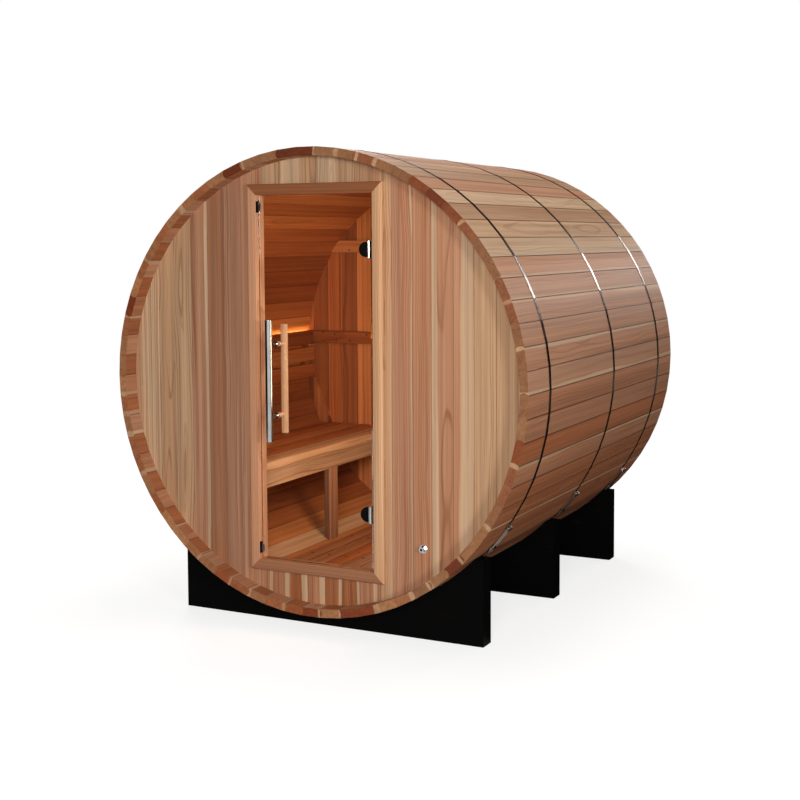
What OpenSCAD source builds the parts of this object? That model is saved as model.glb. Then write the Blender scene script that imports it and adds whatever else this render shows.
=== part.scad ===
// Barrel sauna: a lying barrel of bead-and-cove staves drawn together by three
// steel bands, closed by two board walls let into grooves in the staves, with a
// frameless glass door, a bench and backrest on the left, a flat floor and
// three cradles. Millimetres. X runs to the right of someone facing the door,
// Y from the door towards the back and Z up. The origin lies on the ground,
// under the middle of the barrel.

/* [Barrel] */
// Diameter over the stave edges
outer_d = 1800; // [1740:10:1860]
// Number of staves round the barrel
stave_count = 66; // [66:2:70]
// Thickness of a stave
stave_t = 33; // [30:1:36]
// Length of the staves
barrel_l = 1824; // [1800:4:1860]
// Height of the barrel's lowest line over the ground
ground_gap = 69; // [60:1:80]
// Free gap left between one stave's bead and the next stave's cove
stave_gap = 0.4; // [0.3:0.1:0.6]

/* [End walls] */
// Thickness of both end walls
wall_t = 38; // [34:1:42]
// How far the front wall stands back from the front rim
front_recess = 66; // [60:1:72]
// Clear length of the cabin between the end walls
cabin_l = 1340; // [1300:10:1360]
// Depth of the groove in the staves that holds the walls
croze = 8; // [6:1:10]

/* [Door frame] */
// Clear width of the doorway
door_w = 512; // [490:2:530]
// Height of the sill's top over the floor
sill_rise = 64; // [56:1:72]
// Distance from the doorway's head up to the highest staves
head_drop = 143; // [135:1:155]
// Width of the casing round the doorway
casing_w = 42; // [36:1:46]
// How far the casing stands proud of the wall
casing_t = 24; // [20:1:26]
// Thickness of the lining through the wall
lining_t = 20; // [16:1:24]

/* [Glass door] */
// Thickness of the glass
glass_t = 8; // [6:1:10]
// Gap between the glass and the lining, at the sides
side_gap = 9; // [8:0.5:11]
// Gap between the glass and the lining, over and under
end_gap = 7; // [6:0.5:10]
// Distance from the head down to the middle of the upper hinge
hinge_top_drop = 210; // [180:1:240]
// Distance from the sill up to the middle of the lower hinge
hinge_low_rise = 220; // [190:1:250]
// Diameter of the hinge pins
pin_d = 6; // [5:1:7]
// Radial running clearance at the hinge pins
pin_play = 0.05; // [0.03:0.01:0.08]
// Diameter of both handle bars
handle_d = 28; // [24:1:30]
// Length of the outside handle
handle_out_l = 474; // [440:2:500]
// Length of the inside handle
handle_in_l = 430; // [400:2:460]
// Distance between the two stand-offs of a handle
handle_pitch = 280; // [260:2:300]
// Distance from the glass to the axis of a handle bar
handle_reach = 54; // [50:1:58]
// Height of the handles' middle over the sill
handle_rise = 715; // [690:1:740]
// Distance from the left edge of the glass to the handles' axes
handle_in = 74; // [60:1:90]

/* [Bands] */
// Width of a band
band_w = 19; // [16:1:22]
// Thickness of a band
band_t = 1.5; // [1.2:0.1:2]
// Height of the tensioners' lower ends over the cradles' tips
tens_gap = 14; // [12:1:20]
// Tangential distance from a tensioner's middle to each of its bars
tens_off = 48; // [44:1:52]

/* [Cradles] */
// Angle from straight down at which a cradle leaves the barrel
cradle_a = 44.6; // [43:0.1:46]
// Width of the flat tip at each end of a cradle
cradle_tip = 38; // [30:1:44]
// Thickness of a cradle
cradle_t = 71; // [66:1:74]
// Distance from the barrel's ends in to the outer faces of the end cradles
cradle_in = 131; // [120:1:136]

/* [Bench and floor] */
// Height of the seat over the floor
seat_rise = 405; // [395:1:420]
// Distance from the barrel's middle plane to the bench front
seat_front = 346; // [340:1:352]
// Thickness of the seat boards
seat_t = 27; // [24:1:30]
// Number of seat boards behind the nosing board
seat_boards = 3; // [2:1:4]
// Height of the fascia board under the nosing
fascia_h = 60; // [50:1:70]
// Height of a backrest slat
slat_h = 68; // [64:1:70]
// Thickness of a backrest slat
slat_t = 20; // [18:1:22]
// Distance between slat centres
slat_pitch = 83.5; // [82:0.5:86]
// Height of the top slat's middle over the seat
slat_rise = 428; // [415:1:440]
// Height of the lower batten's foot over the seat
batten_low_rise = 402; // [390:1:415]
// Height of the upper batten's foot over the seat
batten_top_rise = 852; // [840:1:865]
// Height of the floor over the lowest stave
floor_rise = 92; // [88:1:98]
// Width of the flat floor
floor_w = 570; // [550:2:580]
// Number of floor boards
floor_boards_n = 7; // [5:1:8]

/* [Hidden] */
$fn = 96;

// Barrel section
pitch_a = 360 / stave_count;
corner_r = outer_d / 2;
a_out = corner_r * cos(pitch_a / 2);
a_in = a_out - stave_t;
a_mid = a_out - stave_t / 2;
axis_z = corner_r + ground_gap;
face_w = 2 * corner_r * sin(pitch_a / 2);
bead_r = 0.64 * stave_t;
bead_x = face_w / 2 - sqrt(bead_r * bead_r - stave_t * stave_t / 4);
ease = 1.8;
ease_back = 0.6;
cove_cut = 3;
wall_play = 0.4;
groove_play = 0.2;
saddle_play = 0.3;
seat_r = a_in - wall_play;

// Half the room's width at a height over the ground, just clear of the staves
function reach_at(z) = sqrt(seat_r * seat_r - (z - axis_z) * (z - axis_z));

// Stations along the barrel
y_front = -barrel_l / 2;
wall_y0 = y_front + front_recess;
wall_y1 = wall_y0 + wall_t;
rear_y0 = wall_y1 + cabin_l;
rear_y1 = rear_y0 + wall_t;
disc_r = a_in + croze - wall_play;

// Floor and doorway
floor_z = axis_z - a_in + floor_rise;
sill_z = floor_z + sill_rise;
head_z = axis_z + a_in - head_drop;
door_h = head_z - sill_z;
casing_y = wall_y0 - casing_t;
rough_x = door_w / 2 + lining_t;

// Glass and hinges
glass_back = 8;
glass_y0 = casing_y + glass_back;
glass_y1 = glass_y0 + glass_t;
glass_x = door_w / 2 - side_gap;
glass_z0 = sill_z + end_gap;
glass_z1 = head_z - end_gap;
hinge_in = 13;
hinge_x = door_w / 2 - hinge_in;
hinge_y = casing_y;
knuckle_r = 6.5;
knuckle_h = 20;
hinge_h = 64;
clamp_r = 28.5;
clamp_back = 9;
clamp_x = hinge_x - clamp_back;
clamp_t = 6;
leaf_t = 3;
hinge_low_z = sill_z + hinge_low_rise;
hinge_top_z = head_z - hinge_top_drop;
handle_x = -glass_x + handle_in;
handle_z = sill_z + handle_rise;
handle_y0 = glass_y0 - handle_reach;
handle_y1 = glass_y1 + handle_reach;
catch_in = 46;
catch_h = 44;
catch_zs = [sill_z + catch_in, head_z - catch_in];

// Cradles
cradle_w = 2 * (corner_r * sin(cradle_a) + cradle_tip);
cradle_h = axis_z - corner_r * cos(cradle_a);
cradle_y = barrel_l / 2 - cradle_in;

// Bands, set close beside the cradles
band_gap = 4;
band_play = 0.25;
band_ys = [-(cradle_y - cradle_t - band_gap - band_w / 2), cradle_t / 2 + band_gap + band_w / 2,
           cradle_y - cradle_t - band_gap - band_w / 2];
band_ap = a_out + band_play;
bar_r = 5;
loop_r = 7;
bar_x = corner_r + loop_r;
bolt_r = 3;
bolt_y = band_w / 2 + 7;
bolt_tail = 24;
nut_r = 5.6;
nut_h = 5;

// Angle of the tensioners below the barrel's axis, with their ends clear of the cradles
tens_end = tens_off + bolt_tail;
tens_a = 90 - atan2(tens_end, bar_x)
  - acos((axis_z - cradle_h - tens_gap) / norm([bar_x, tens_end]));
end_a = atan((tens_off - 4) / corner_r);

// Interior
seat_z = floor_z + seat_rise;
seat_back = -reach_at(seat_z - seat_t);
seat_slit = 3;
nose_t = 40;
nose_r = 32;
nose_w = 106;
fascia_t = 26;
fascia_back = 2;
leg_w = 78;
leg_y = -121;
slat_z = seat_z + slat_rise;
slat_low = slat_z - 2 * slat_pitch - slat_h / 2;
slat_off = 4;
slat_x = -(min(reach_at(slat_low), reach_at(slat_z + slat_h / 2)) - slat_off - slat_t);
cleat_w = 30;
rib_t = 28;
rib_foot_w = 54;
rib_top_w = 39;
strip_w = 10;
strip_t = 5;
batten_h = 60;
batten_t = 20;
batten_zs = [seat_z + batten_low_rise, seat_z + batten_top_rise];
floor_t = 28;
floor_slit = 2;
bearer_w = 45;

// Extrudes an outline drawn in X and Z between two stations along Y
module prism_y(y0, y1)
  translate([0, y1, 0]) rotate([90, 0, 0]) linear_extrude(y1 - y0) children();

// Round disc about the barrel's axis between two stations along Y
module disc_y(r, y0, y1)
  translate([0, y0, axis_z]) rotate([-90, 0, 0]) cylinder(r = r, h = y1 - y0);

// Box between two corners
module box(p, q) translate(p) cube([q[0] - p[0], q[1] - p[1], q[2] - p[2]]);

// Section of one stave, outside up, its bead on the left and its cove on the right
module stave_profile() {
  difference() {
    union() {
      translate([-bead_x, a_in]) square([bead_x + face_w / 2 + cove_cut, stave_t]);
      intersection() {
        translate([-bead_x, a_mid]) circle(bead_r);
        translate([-face_w, a_in]) square([2 * face_w, stave_t]);
      }
    }
    rotate(-pitch_a) translate([-bead_x, a_mid]) circle(bead_r + stave_gap);
    translate([-face_w / 2, a_out]) rotate(45) square(ease, center = true);
    translate([face_w / 2 - ease_back, a_out]) rotate(45) square(ease, center = true);
  }
}

// Neighbouring staves from one place round the barrel to another, with both wall grooves
module stave_run(first, last) {
  difference() {
    for (i = [first:last])
      prism_y(y_front, -y_front) translate([0, axis_z])
        rotate((i + 0.5) * pitch_a - 90) stave_profile();
    disc_y(a_in + croze, wall_y0 - groove_play, wall_y1 + groove_play);
    disc_y(a_in + croze, rear_y0 - groove_play, rear_y1 + groove_play);
  }
}

// The staves are counted from the right-hand side, upwards; the runs share them out
quarter = stave_count / 4;
run_top0 = ceil(quarter - 4.5);
run_top1 = floor(quarter + 3.5);
run_side = 3;
half = stave_count / 2;

module staves_top() color("sienna") stave_run(run_top0, run_top1);
module staves_upper_right() color("peru") stave_run(run_side + 1, run_top0 - 1);
module staves_right() color("sienna") stave_run(-run_side - 1, run_side);
module staves_lower_right() color("peru") stave_run(-run_top0, -run_side - 2);
module staves_bottom() color("sienna") stave_run(-run_top1 - 1, -run_top0 - 1);
module staves_lower_left() color("peru") stave_run(half + run_side + 1, half + run_top0 - 1);
module staves_left() color("sienna") stave_run(half - run_side - 1, half + run_side);
module staves_upper_left() color("peru") stave_run(run_top1 + 1, half - run_side - 2);

// Front wall, split beside, over and under the doorway
module front_disc() disc_y(disc_r, wall_y0, wall_y1);
module front_wall_left() color("burlywood") intersection() {
  front_disc();
  box([-corner_r, wall_y0 - 1, 0], [-rough_x, wall_y1 + 1, 2 * axis_z]);
}
module front_wall_right() color("burlywood") difference() {
  intersection() {
    front_disc();
    box([rough_x, wall_y0 - 1, 0], [corner_r, wall_y1 + 1, 2 * axis_z]);
  }
  rod_y(gland_x, gland_z, gland_r + gland_wall + groove_play, wall_y0 - 1, wall_y1 + 1);
}
module front_wall_over_door() color("burlywood") intersection() {
  front_disc();
  box([-rough_x, wall_y0 - 1, head_z + lining_t], [rough_x, wall_y1 + 1, 2 * axis_z]);
}
module front_wall_under_door() color("burlywood") intersection() {
  front_disc();
  box([-rough_x, wall_y0 - 1, 0], [rough_x, wall_y1 + 1, sill_z - lining_t]);
}
module rear_wall() color("burlywood") disc_y(disc_r, rear_y0, rear_y1);

// Section of a frame member: X runs away from the doorway, Y through the wall
module frame_profile()
  polygon([[0, casing_y + 2], [2, casing_y], [casing_w - 9, casing_y], [casing_w, casing_y + 6],
           [casing_w, wall_y0], [lining_t, wall_y0], [lining_t, wall_y1], [0, wall_y1]]);

// Mitred outline of a side member, and of an end member
module jamb_outline()
  polygon([[door_w / 2, sill_z], [door_w / 2 + casing_w, sill_z - casing_w],
           [door_w / 2 + casing_w, head_z + casing_w], [door_w / 2, head_z]]);
module head_outline()
  polygon([[-door_w / 2, 0], [door_w / 2, 0], [door_w / 2 + casing_w, casing_w],
           [-door_w / 2 - casing_w, casing_w]]);

module jamb() intersection() {
  translate([door_w / 2, 0, sill_z - casing_w - 1]) linear_extrude(door_h + 2 * casing_w + 2) frame_profile();
  prism_y(casing_y - 1, wall_y1 + 1) jamb_outline();
}
module end_member() intersection() {
  translate([door_w / 2 + casing_w, 0, 0]) rotate([0, -90, 0])
    linear_extrude(door_w + 2 * casing_w) frame_profile();
  prism_y(casing_y - 1, wall_y1 + 1) head_outline();
}
module door_jamb_right() color("tan") jamb();
module door_jamb_left() color("tan") mirror([1, 0, 0]) jamb();
module door_head() color("tan") translate([0, 0, head_z]) end_member();
module door_sill() color("tan") translate([0, 0, sill_z]) mirror([0, 0, 1]) end_member();

// Round bar or hole through the glass, along Y
module rod_y(x, z, r, y0, y1)
  translate([x, y0, z]) rotate([-90, 0, 0]) cylinder(r = r, h = y1 - y0);
handle_zs = [handle_z - handle_pitch / 2, handle_z + handle_pitch / 2];
hinge_zs = [hinge_low_z, hinge_top_z];
stud_r = 5;
stud_in = 16;

module door_glass() color("lightblue", 0.35) difference() {
  box([-glass_x, glass_y0, glass_z0], [glass_x, glass_y1, glass_z1]);
  for (z = handle_zs) rod_y(handle_x, z, stud_r + wall_play, glass_y0 - 1, glass_y1 + 1);
  for (z = hinge_zs) rod_y(clamp_x - stud_in, z, stud_r + wall_play, glass_y0 - 1, glass_y1 + 1);
}

// Upright round bar with eased ends
bar_ease = 1.5;
module bar_z(r, l) rotate_extrude()
  polygon([[0, 0], [r - bar_ease, 0], [r, bar_ease], [r, l - bar_ease], [r - bar_ease, l], [0, l]]);

module door_handle_outside() color("silver") {
  translate([handle_x, handle_y0, handle_z - handle_out_l / 2]) bar_z(handle_d / 2, handle_out_l);
  for (z = handle_zs) {
    rod_y(handle_x, z, 7, handle_y0, glass_y0);
    rod_y(handle_x, z, 11, glass_y0 - 3, glass_y0);
    rod_y(handle_x, z, stud_r, glass_y0 - 1, glass_y1);
  }
}

module door_handle_inside() color("peru") {
  translate([handle_x, handle_y1, handle_z - handle_in_l / 2]) bar_z(handle_d / 2, handle_in_l);
  for (z = handle_zs)
    translate([handle_x, glass_y1, z]) rotate([-90, 0, 0]) cylinder(r1 = 10.5, r2 = 7.5, h = handle_reach);
}

// D-shaped plate of a hinge clamp, straight along the hinge side
module clamp_outline(z) intersection() {
  translate([clamp_x - 5, z]) circle(clamp_r);
  translate([clamp_x - 2 * clamp_r, z - clamp_r - 1]) square([2 * clamp_r, 2 * clamp_r + 2]);
}
module hinge_clamps() color("black") for (z = hinge_zs) {
  prism_y(glass_y0 - clamp_t, glass_y0) clamp_outline(z);
  prism_y(glass_y1, glass_y1 + clamp_t) clamp_outline(z);
  rod_y(clamp_x - stud_in, z, stud_r, glass_y0 - 1, glass_y1 + 1);
}

// Turning knuckle with its arm to the clamp
module hinge_knuckles() color("silver") for (z = hinge_zs) difference() {
  union() {
    translate([hinge_x, hinge_y, z - hinge_h / 2 + knuckle_h + 0.6])
      cylinder(r = knuckle_r, h = hinge_h - 2 * knuckle_h - 1.2);
    box([clamp_x, glass_y0 - clamp_t, z - 11], [hinge_x - 4, glass_y0 - 1.5, z + 11]);
  }
  translate([hinge_x, hinge_y, z - hinge_h]) cylinder(r = pin_d / 2 + pin_play, h = 2 * hinge_h);
}

// Leaf on the jamb with two knuckles and the pin through them
module hinge_leaves() color("silver") for (z = hinge_zs) {
  box([door_w / 2 - leaf_t, hinge_y - leaf_t, z - hinge_h / 2],
      [door_w / 2, glass_y1 + 2 * pin_d, z + hinge_h / 2]);
  for (z0 = [z - hinge_h / 2, z + hinge_h / 2 - knuckle_h]) {
    translate([hinge_x, hinge_y, z0]) cylinder(r = knuckle_r, h = knuckle_h);
    box([hinge_x, hinge_y - leaf_t, z0], [door_w / 2 - leaf_t / 2, hinge_y + leaf_t, z0 + knuckle_h]);
  }
  translate([hinge_x, hinge_y, z - hinge_h / 2]) cylinder(r = pin_d / 2, h = hinge_h);
}

// Magnet blocks on the left jamb, and the plates they hold on the glass
module door_catches() color("black") for (z = catch_zs)
  box([-door_w / 2, glass_y0 - 5, z - catch_h / 2], [-door_w / 2 + 3.5, glass_y1 + 5, z + catch_h / 2]);
module catch_plates() color("silver") for (z = catch_zs)
  box([-glass_x, glass_y0 - 2, z - catch_h / 3], [-glass_x + 10, glass_y0, z + catch_h / 3]);

// Gland for the supply lead, through the front wall
gland_x = rough_x + 180;
gland_z = sill_z + 107;
gland_r = 5;
gland_wall = 4.8;
module cable_gland() color("silver") difference() {
  union() {
    rod_y(gland_x, gland_z, 16, wall_y0 - 5, wall_y0);
    translate([gland_x, wall_y0 - 13, gland_z]) rotate([-90, 0, 0]) cylinder(r = 13, h = 9, $fn = 6);
    rod_y(gland_x, gland_z, 10, wall_y0 - 22, wall_y0 - 12);
    rod_y(gland_x, gland_z, gland_r + gland_wall, wall_y0 - 1, wall_y1 + 1);
    translate([gland_x, wall_y1, gland_z]) rotate([-90, 0, 0]) cylinder(r = 16, h = 7, $fn = 6);
  }
  rod_y(gland_x, gland_z, gland_r, wall_y0 - 30, wall_y1 + 10);
}

// Point of a band's outline at an angle, at a distance from the axis to its flats
function flat_point(a, ap) =
  let (mid = (floor(a / pitch_a) + 0.5) * pitch_a) ap / cos(a - mid) * [cos(a), sin(a)];
function band_angles(a0, a1) =
  concat([a0], [for (k = [ceil(a0 / pitch_a):floor(a1 / pitch_a)]) k * pitch_a], [a1]);
module band_half(a0, a1) {
  angles = band_angles(a0, a1);
  translate([0, axis_z]) polygon(concat(
    [for (a = angles) flat_point(a, band_ap + band_t)],
    [for (k = [len(angles) - 1:-1:0]) flat_point(angles[k], band_ap)]));
}

// Places children at a tensioner, X outwards, Y along the barrel and Z round it, upwards
module at_tensioner(y, side)
  mirror([side < 0 ? 1 : 0, 0, 0]) translate([0, y, axis_z]) rotate([0, tens_a, 0]) children();

// Loop at the end of a band, bored for its bar
module band_loop(y, side, dir) difference() {
  at_tensioner(y, side) translate([bar_x, band_w / 2, dir * tens_off]) rotate([90, 0, 0])
    linear_extrude(band_w) difference() {
      union() {
        circle(loop_r);
        translate([-loop_r, -loop_r]) square([loop_r + 1, 2 * loop_r]);
        translate([-loop_r - 1.5, dir > 0 ? 0 : -2 * loop_r]) square([4, 2 * loop_r]);
      }
      circle(bar_r + 0.1);
    }
  prism_y(y - band_w, y + band_w) translate([0, axis_z])
    polygon([for (k = [0:stave_count - 1]) flat_point(k * pitch_a, band_ap + band_t / 4)]);
}
module band(y) {
  union() {
    prism_y(y - band_w / 2, y + band_w / 2) band_half(end_a - tens_a, 180 + tens_a - end_a);
    for (side = [-1, 1]) band_loop(y, side, 1);
  }
  union() {
    prism_y(y - band_w / 2, y + band_w / 2) band_half(180 + tens_a + end_a, 360 - tens_a - end_a);
    for (side = [-1, 1]) band_loop(y, side, -1);
  }
}
module front_band() color("gainsboro") band(band_ys[0]);
module middle_band() color("gainsboro") band(band_ys[1]);
module rear_band() color("gainsboro") band(band_ys[2]);

module tensioner_bars() color("gray") for (y = band_ys, side = [-1, 1], dir = [-1, 1])
  at_tensioner(y, side) difference() {
    translate([bar_x, bolt_y + 8, dir * tens_off]) rotate([90, 0, 0])
      cylinder(r = bar_r, h = 2 * bolt_y + 16);
    for (s = [-1, 1]) translate([bar_x, s * bolt_y, dir * tens_off - 10])
      cylinder(r = bolt_r + 0.2, h = 20);
  }
module tensioner_bolts() color("gainsboro") for (y = band_ys, side = [-1, 1], s = [-1, 1])
  at_tensioner(y, side) translate([bar_x, s * bolt_y, 0]) {
    translate([0, 0, -tens_end]) cylinder(r = bolt_r, h = tens_end + tens_off + bolt_tail / 4);
    translate([0, 0, tens_off + bar_r + saddle_play]) cylinder(r = nut_r, h = nut_h, $fn = 6);
    translate([0, 0, -tens_off - bar_r - saddle_play - nut_h]) cylinder(r = nut_r, h = nut_h, $fn = 6);
  }

// Cradle plank, hollowed to the barrel
module cradle(y0) prism_y(y0, y0 + cradle_t) difference() {
  translate([-cradle_w / 2, 0]) square([cradle_w, cradle_h]);
  translate([0, axis_z]) circle(corner_r + saddle_play, $fn = 360);
}
module front_cradle() color("black") cradle(-cradle_y);
module middle_cradle() color("black") cradle(-cradle_t / 2);
module rear_cradle() color("black") cradle(cradle_y - cradle_t);

// Seat boards with a round-nosed front board
board_w = (-seat_front - nose_w - seat_back) / seat_boards - seat_slit;
module bench_seat() color("chocolate") {
  for (k = [0:seat_boards - 1])
    box([seat_back + k * (board_w + seat_slit), wall_y1, seat_z - seat_t],
        [seat_back + k * (board_w + seat_slit) + board_w, rear_y0, seat_z]);
  prism_y(wall_y1, rear_y0) union() {
    translate([-seat_front - nose_w, seat_z - nose_t]) square([nose_w - nose_r, nose_t]);
    translate([-seat_front - nose_r - 1, seat_z - nose_t]) square([nose_r + 1, nose_t - nose_r]);
    intersection() {
      translate([-seat_front - nose_r, seat_z - nose_r]) circle(nose_r);
      translate([-seat_front - nose_r - 1, seat_z - nose_r - 1]) square(nose_r + 2);
    }
  }
}
module bench_fascia() color("chocolate")
  box([-seat_front - fascia_back - fascia_t, wall_y1, seat_z - nose_t - fascia_h],
      [-seat_front - fascia_back, rear_y0, seat_z - nose_t]);
module bench_leg() color("chocolate") prism_y(leg_y - leg_w / 2, leg_y + leg_w / 2) intersection() {
  translate([-seat_front - fascia_back - fascia_t, 0]) square([fascia_t, seat_z - nose_t - fascia_h]);
  translate([0, axis_z]) circle(seat_r, $fn = 360);
}

module backrest_slats() color("chocolate") for (k = [0:2])
  box([slat_x - slat_t, wall_y1, slat_z - k * slat_pitch - slat_h / 2],
      [slat_x, rear_y0, slat_z - k * slat_pitch + slat_h / 2]);
// Cleats that hold the slats off the staves
module backrest_cleats() color("chocolate") 
  for (y = [wall_y1 + 2 * cleat_w, (wall_y1 + rear_y0) / 2, rear_y0 - 3 * cleat_w])
  prism_y(y, y + cleat_w) intersection() {
    translate([-corner_r, slat_low]) square([corner_r + slat_x - slat_t, slat_z - slat_low]);
    translate([0, axis_z]) circle(seat_r, $fn = 360);
  }
// Ribs that follow the staves from the seat up to the lowest slat
module backrest_ribs() color("chocolate") for (y = [wall_y1, rear_y0 - rib_t])
  prism_y(y, y + rib_t) intersection() {
    polygon([[-corner_r, seat_z], [rib_foot_w - reach_at(seat_z), seat_z],
             [rib_top_w - reach_at(slat_low), slat_low], [-corner_r, slat_low]]);
    translate([0, axis_z]) circle(seat_r, $fn = 360);
  }
// Light strip on the back of the top slat
module light_strip() color("moccasin")
  box([slat_x - slat_t - strip_t, wall_y1 + strip_w, slat_z + slat_h / 2 - 1.8 * strip_w],
      [slat_x - slat_t, rear_y0 - strip_w, slat_z + slat_h / 2 - 0.8 * strip_w]);

// Battens across the inside of the rear wall
module rear_wall_battens() color("chocolate") for (k = [0, 1])
  prism_y(rear_y0 - batten_t, rear_y0) intersection() {
    translate([k == 0 ? slat_x + fascia_back : -corner_r, batten_zs[k]]) square([2 * corner_r, batten_h]);
    translate([0, axis_z]) circle(seat_r, $fn = 360);
  }

floor_board_w = (floor_w + floor_slit) / floor_boards_n - floor_slit;
module floor_boards() color("peru") for (k = [0:floor_boards_n - 1])
  box([-floor_w / 2 + k * (floor_board_w + floor_slit), wall_y1, floor_z - floor_t],
      [-floor_w / 2 + k * (floor_board_w + floor_slit) + floor_board_w, rear_y0, floor_z]);
module floor_bearers() color("peru")
  for (y = [wall_y1 + 2 * bearer_w, (wall_y1 + rear_y0 - bearer_w) / 2, rear_y0 - 3 * bearer_w])
  prism_y(y, y + bearer_w) intersection() {
    translate([-floor_w / 2, 0]) square([floor_w, floor_z - floor_t]);
    translate([0, axis_z]) circle(seat_r, $fn = 360);
  }

staves_top();
staves_upper_right();
staves_right();
staves_lower_right();
staves_bottom();
staves_lower_left();
staves_left();
staves_upper_left();
front_wall_left();
front_wall_right();
front_wall_over_door();
front_wall_under_door();
rear_wall();
door_jamb_left();
door_jamb_right();
door_head();
door_sill();
door_glass();
door_handle_outside();
door_handle_inside();
hinge_clamps();
hinge_knuckles();
hinge_leaves();
door_catches();
catch_plates();
cable_gland();
front_band();
middle_band();
rear_band();
tensioner_bars();
tensioner_bolts();
front_cradle();
middle_cradle();
rear_cradle();
bench_seat();
bench_fascia();
bench_leg();
backrest_slats();
backrest_cleats();
backrest_ribs();
light_strip();
rear_wall_battens();
floor_boards();
floor_bearers();
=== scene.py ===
import logging
import math
import random
from dataclasses import dataclass, field
from enum import Enum
from typing import Iterable, Optional, Sequence, Union

import bmesh
import bpy
from mathutils import Matrix, Vector


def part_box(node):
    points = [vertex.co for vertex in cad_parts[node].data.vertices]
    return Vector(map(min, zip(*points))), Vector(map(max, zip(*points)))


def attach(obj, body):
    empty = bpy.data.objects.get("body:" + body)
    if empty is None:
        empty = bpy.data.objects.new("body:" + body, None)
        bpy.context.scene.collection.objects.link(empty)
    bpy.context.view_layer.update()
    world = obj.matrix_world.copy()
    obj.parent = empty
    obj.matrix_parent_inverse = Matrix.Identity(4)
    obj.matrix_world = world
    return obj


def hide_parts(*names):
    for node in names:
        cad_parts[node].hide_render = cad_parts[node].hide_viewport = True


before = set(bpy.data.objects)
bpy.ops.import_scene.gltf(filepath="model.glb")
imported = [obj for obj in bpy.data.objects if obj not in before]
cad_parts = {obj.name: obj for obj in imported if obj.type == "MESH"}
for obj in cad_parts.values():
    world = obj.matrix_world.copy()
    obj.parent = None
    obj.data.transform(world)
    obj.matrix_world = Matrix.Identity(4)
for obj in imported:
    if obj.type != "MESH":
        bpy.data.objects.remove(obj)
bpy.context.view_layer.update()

LOG = logging.getLogger("barrel_sauna")

Screen = tuple[int, int, int]
Colour = tuple[float, float, float]
Opaque = tuple[float, float, float, float]
Point = tuple[float, float]
Place = tuple[float, float, float]
Faces = list[tuple[int, ...]]
Solid = tuple[list[Vector], Faces]
Piece = bpy.types.Object
Socket = bpy.types.NodeSocket
Feed = Union[Socket, float, Sequence[float]]
Feeds = dict[Union[str, int], Feed]

# Sizes of the sauna and of its studio are in metres.
ALONG_X = Vector((1.0, 0.0, 0.0))
ALONG_Y = Vector((0.0, 1.0, 0.0))
ALONG_Z = Vector((0.0, 0.0, 1.0))
WHITE = (1.0, 1.0, 1.0, 1.0)
VECTOR = "NodeSocketVector"
FLOAT = "NodeSocketFloat"
COLOUR = "NodeSocketColor"


def linear(red: int, green: int, blue: int) -> Colour:
    """Turns a colour as a screen shows it, 0 to 255, into linear light.

    Args:
        red: Red, 0 to 255.
        green: Green, 0 to 255.
        blue: Blue, 0 to 255.

    Returns:
        The same colour as three linear values, 0 to 1.
    """
    parts = [c / 255.0 for c in (red, green, blue)]
    return tuple(p / 12.92 if p < 0.04045 else ((p + 0.055) / 1.055) ** 2.4 for p in parts)


def opaque(colour: Colour) -> Opaque:
    """Adds a full alpha to a colour."""
    return (*colour, 1.0)


def lowest(node: str) -> Vector:
    """Lowest corner of a node of the frame, in metres."""
    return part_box(node)[0]


def highest(node: str) -> Vector:
    """Highest corner of a node of the frame, in metres."""
    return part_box(node)[1]


class Body(Enum):
    """Bodies of the frame that pieces ride on."""

    BARREL = "barrel"
    DOOR = "door"


class Tone(Enum):
    """Tones of planed red cedar, as a screen shows them."""

    CREAM = (196, 163, 131)
    STRAW = (188, 150, 116)
    HONEY = (194, 148, 111)
    TAN = (180, 140, 108)
    ROSE = (182, 133, 102)
    MAUVE = (174, 126, 98)
    BROWN = (172, 119, 87)
    RUSSET = (158, 98, 62)
    UMBER = (126, 76, 50)
    AMBER = (190, 116, 66)
    COPPER = (168, 94, 50)
    CHESTNUT = (142, 76, 40)

    @property
    def colour(self) -> Colour:
        """The tone in linear light."""
        return linear(*self.value)


class Cut(Enum):
    """How a board was sawn: its distance across and into the log from the heart, in metres."""

    FLAT = ((-0.018, 0.018), (0.04, 0.085))
    RIFT = ((0.07, 0.11), (0.05, 0.08))
    QUARTER = ((0.12, 0.22), (-0.02, 0.02))

    def place_in_log(self, rng: random.Random) -> Vector:
        """Picks where in a long log a board was sawn.

        Args:
            rng: The seeded source of chance.

        Returns:
            Offset from the log's heart across, into and along the board, in metres.
        """
        side = rng.choice((-1.0, 1.0))
        along = rng.uniform(-40.0, 40.0)
        across, into = (rng.uniform(*stretch) for stretch in self.value)
        if self is Cut.FLAT:
            return Vector((across, side * into, along))
        return Vector((side * across, into, along))


CREAM, STRAW, HONEY, TAN, ROSE, MAUVE, BROWN, RUSSET, UMBER, AMBER, COPPER, CHESTNUT = Tone
FLAT, RIFT, QUARTER = Cut


@dataclass(frozen=True)
class Sap:
    """A streak of pale sapwood along a board."""

    centre: float = 0.0
    half: float = 0.0
    strength: float = 0.0


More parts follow.
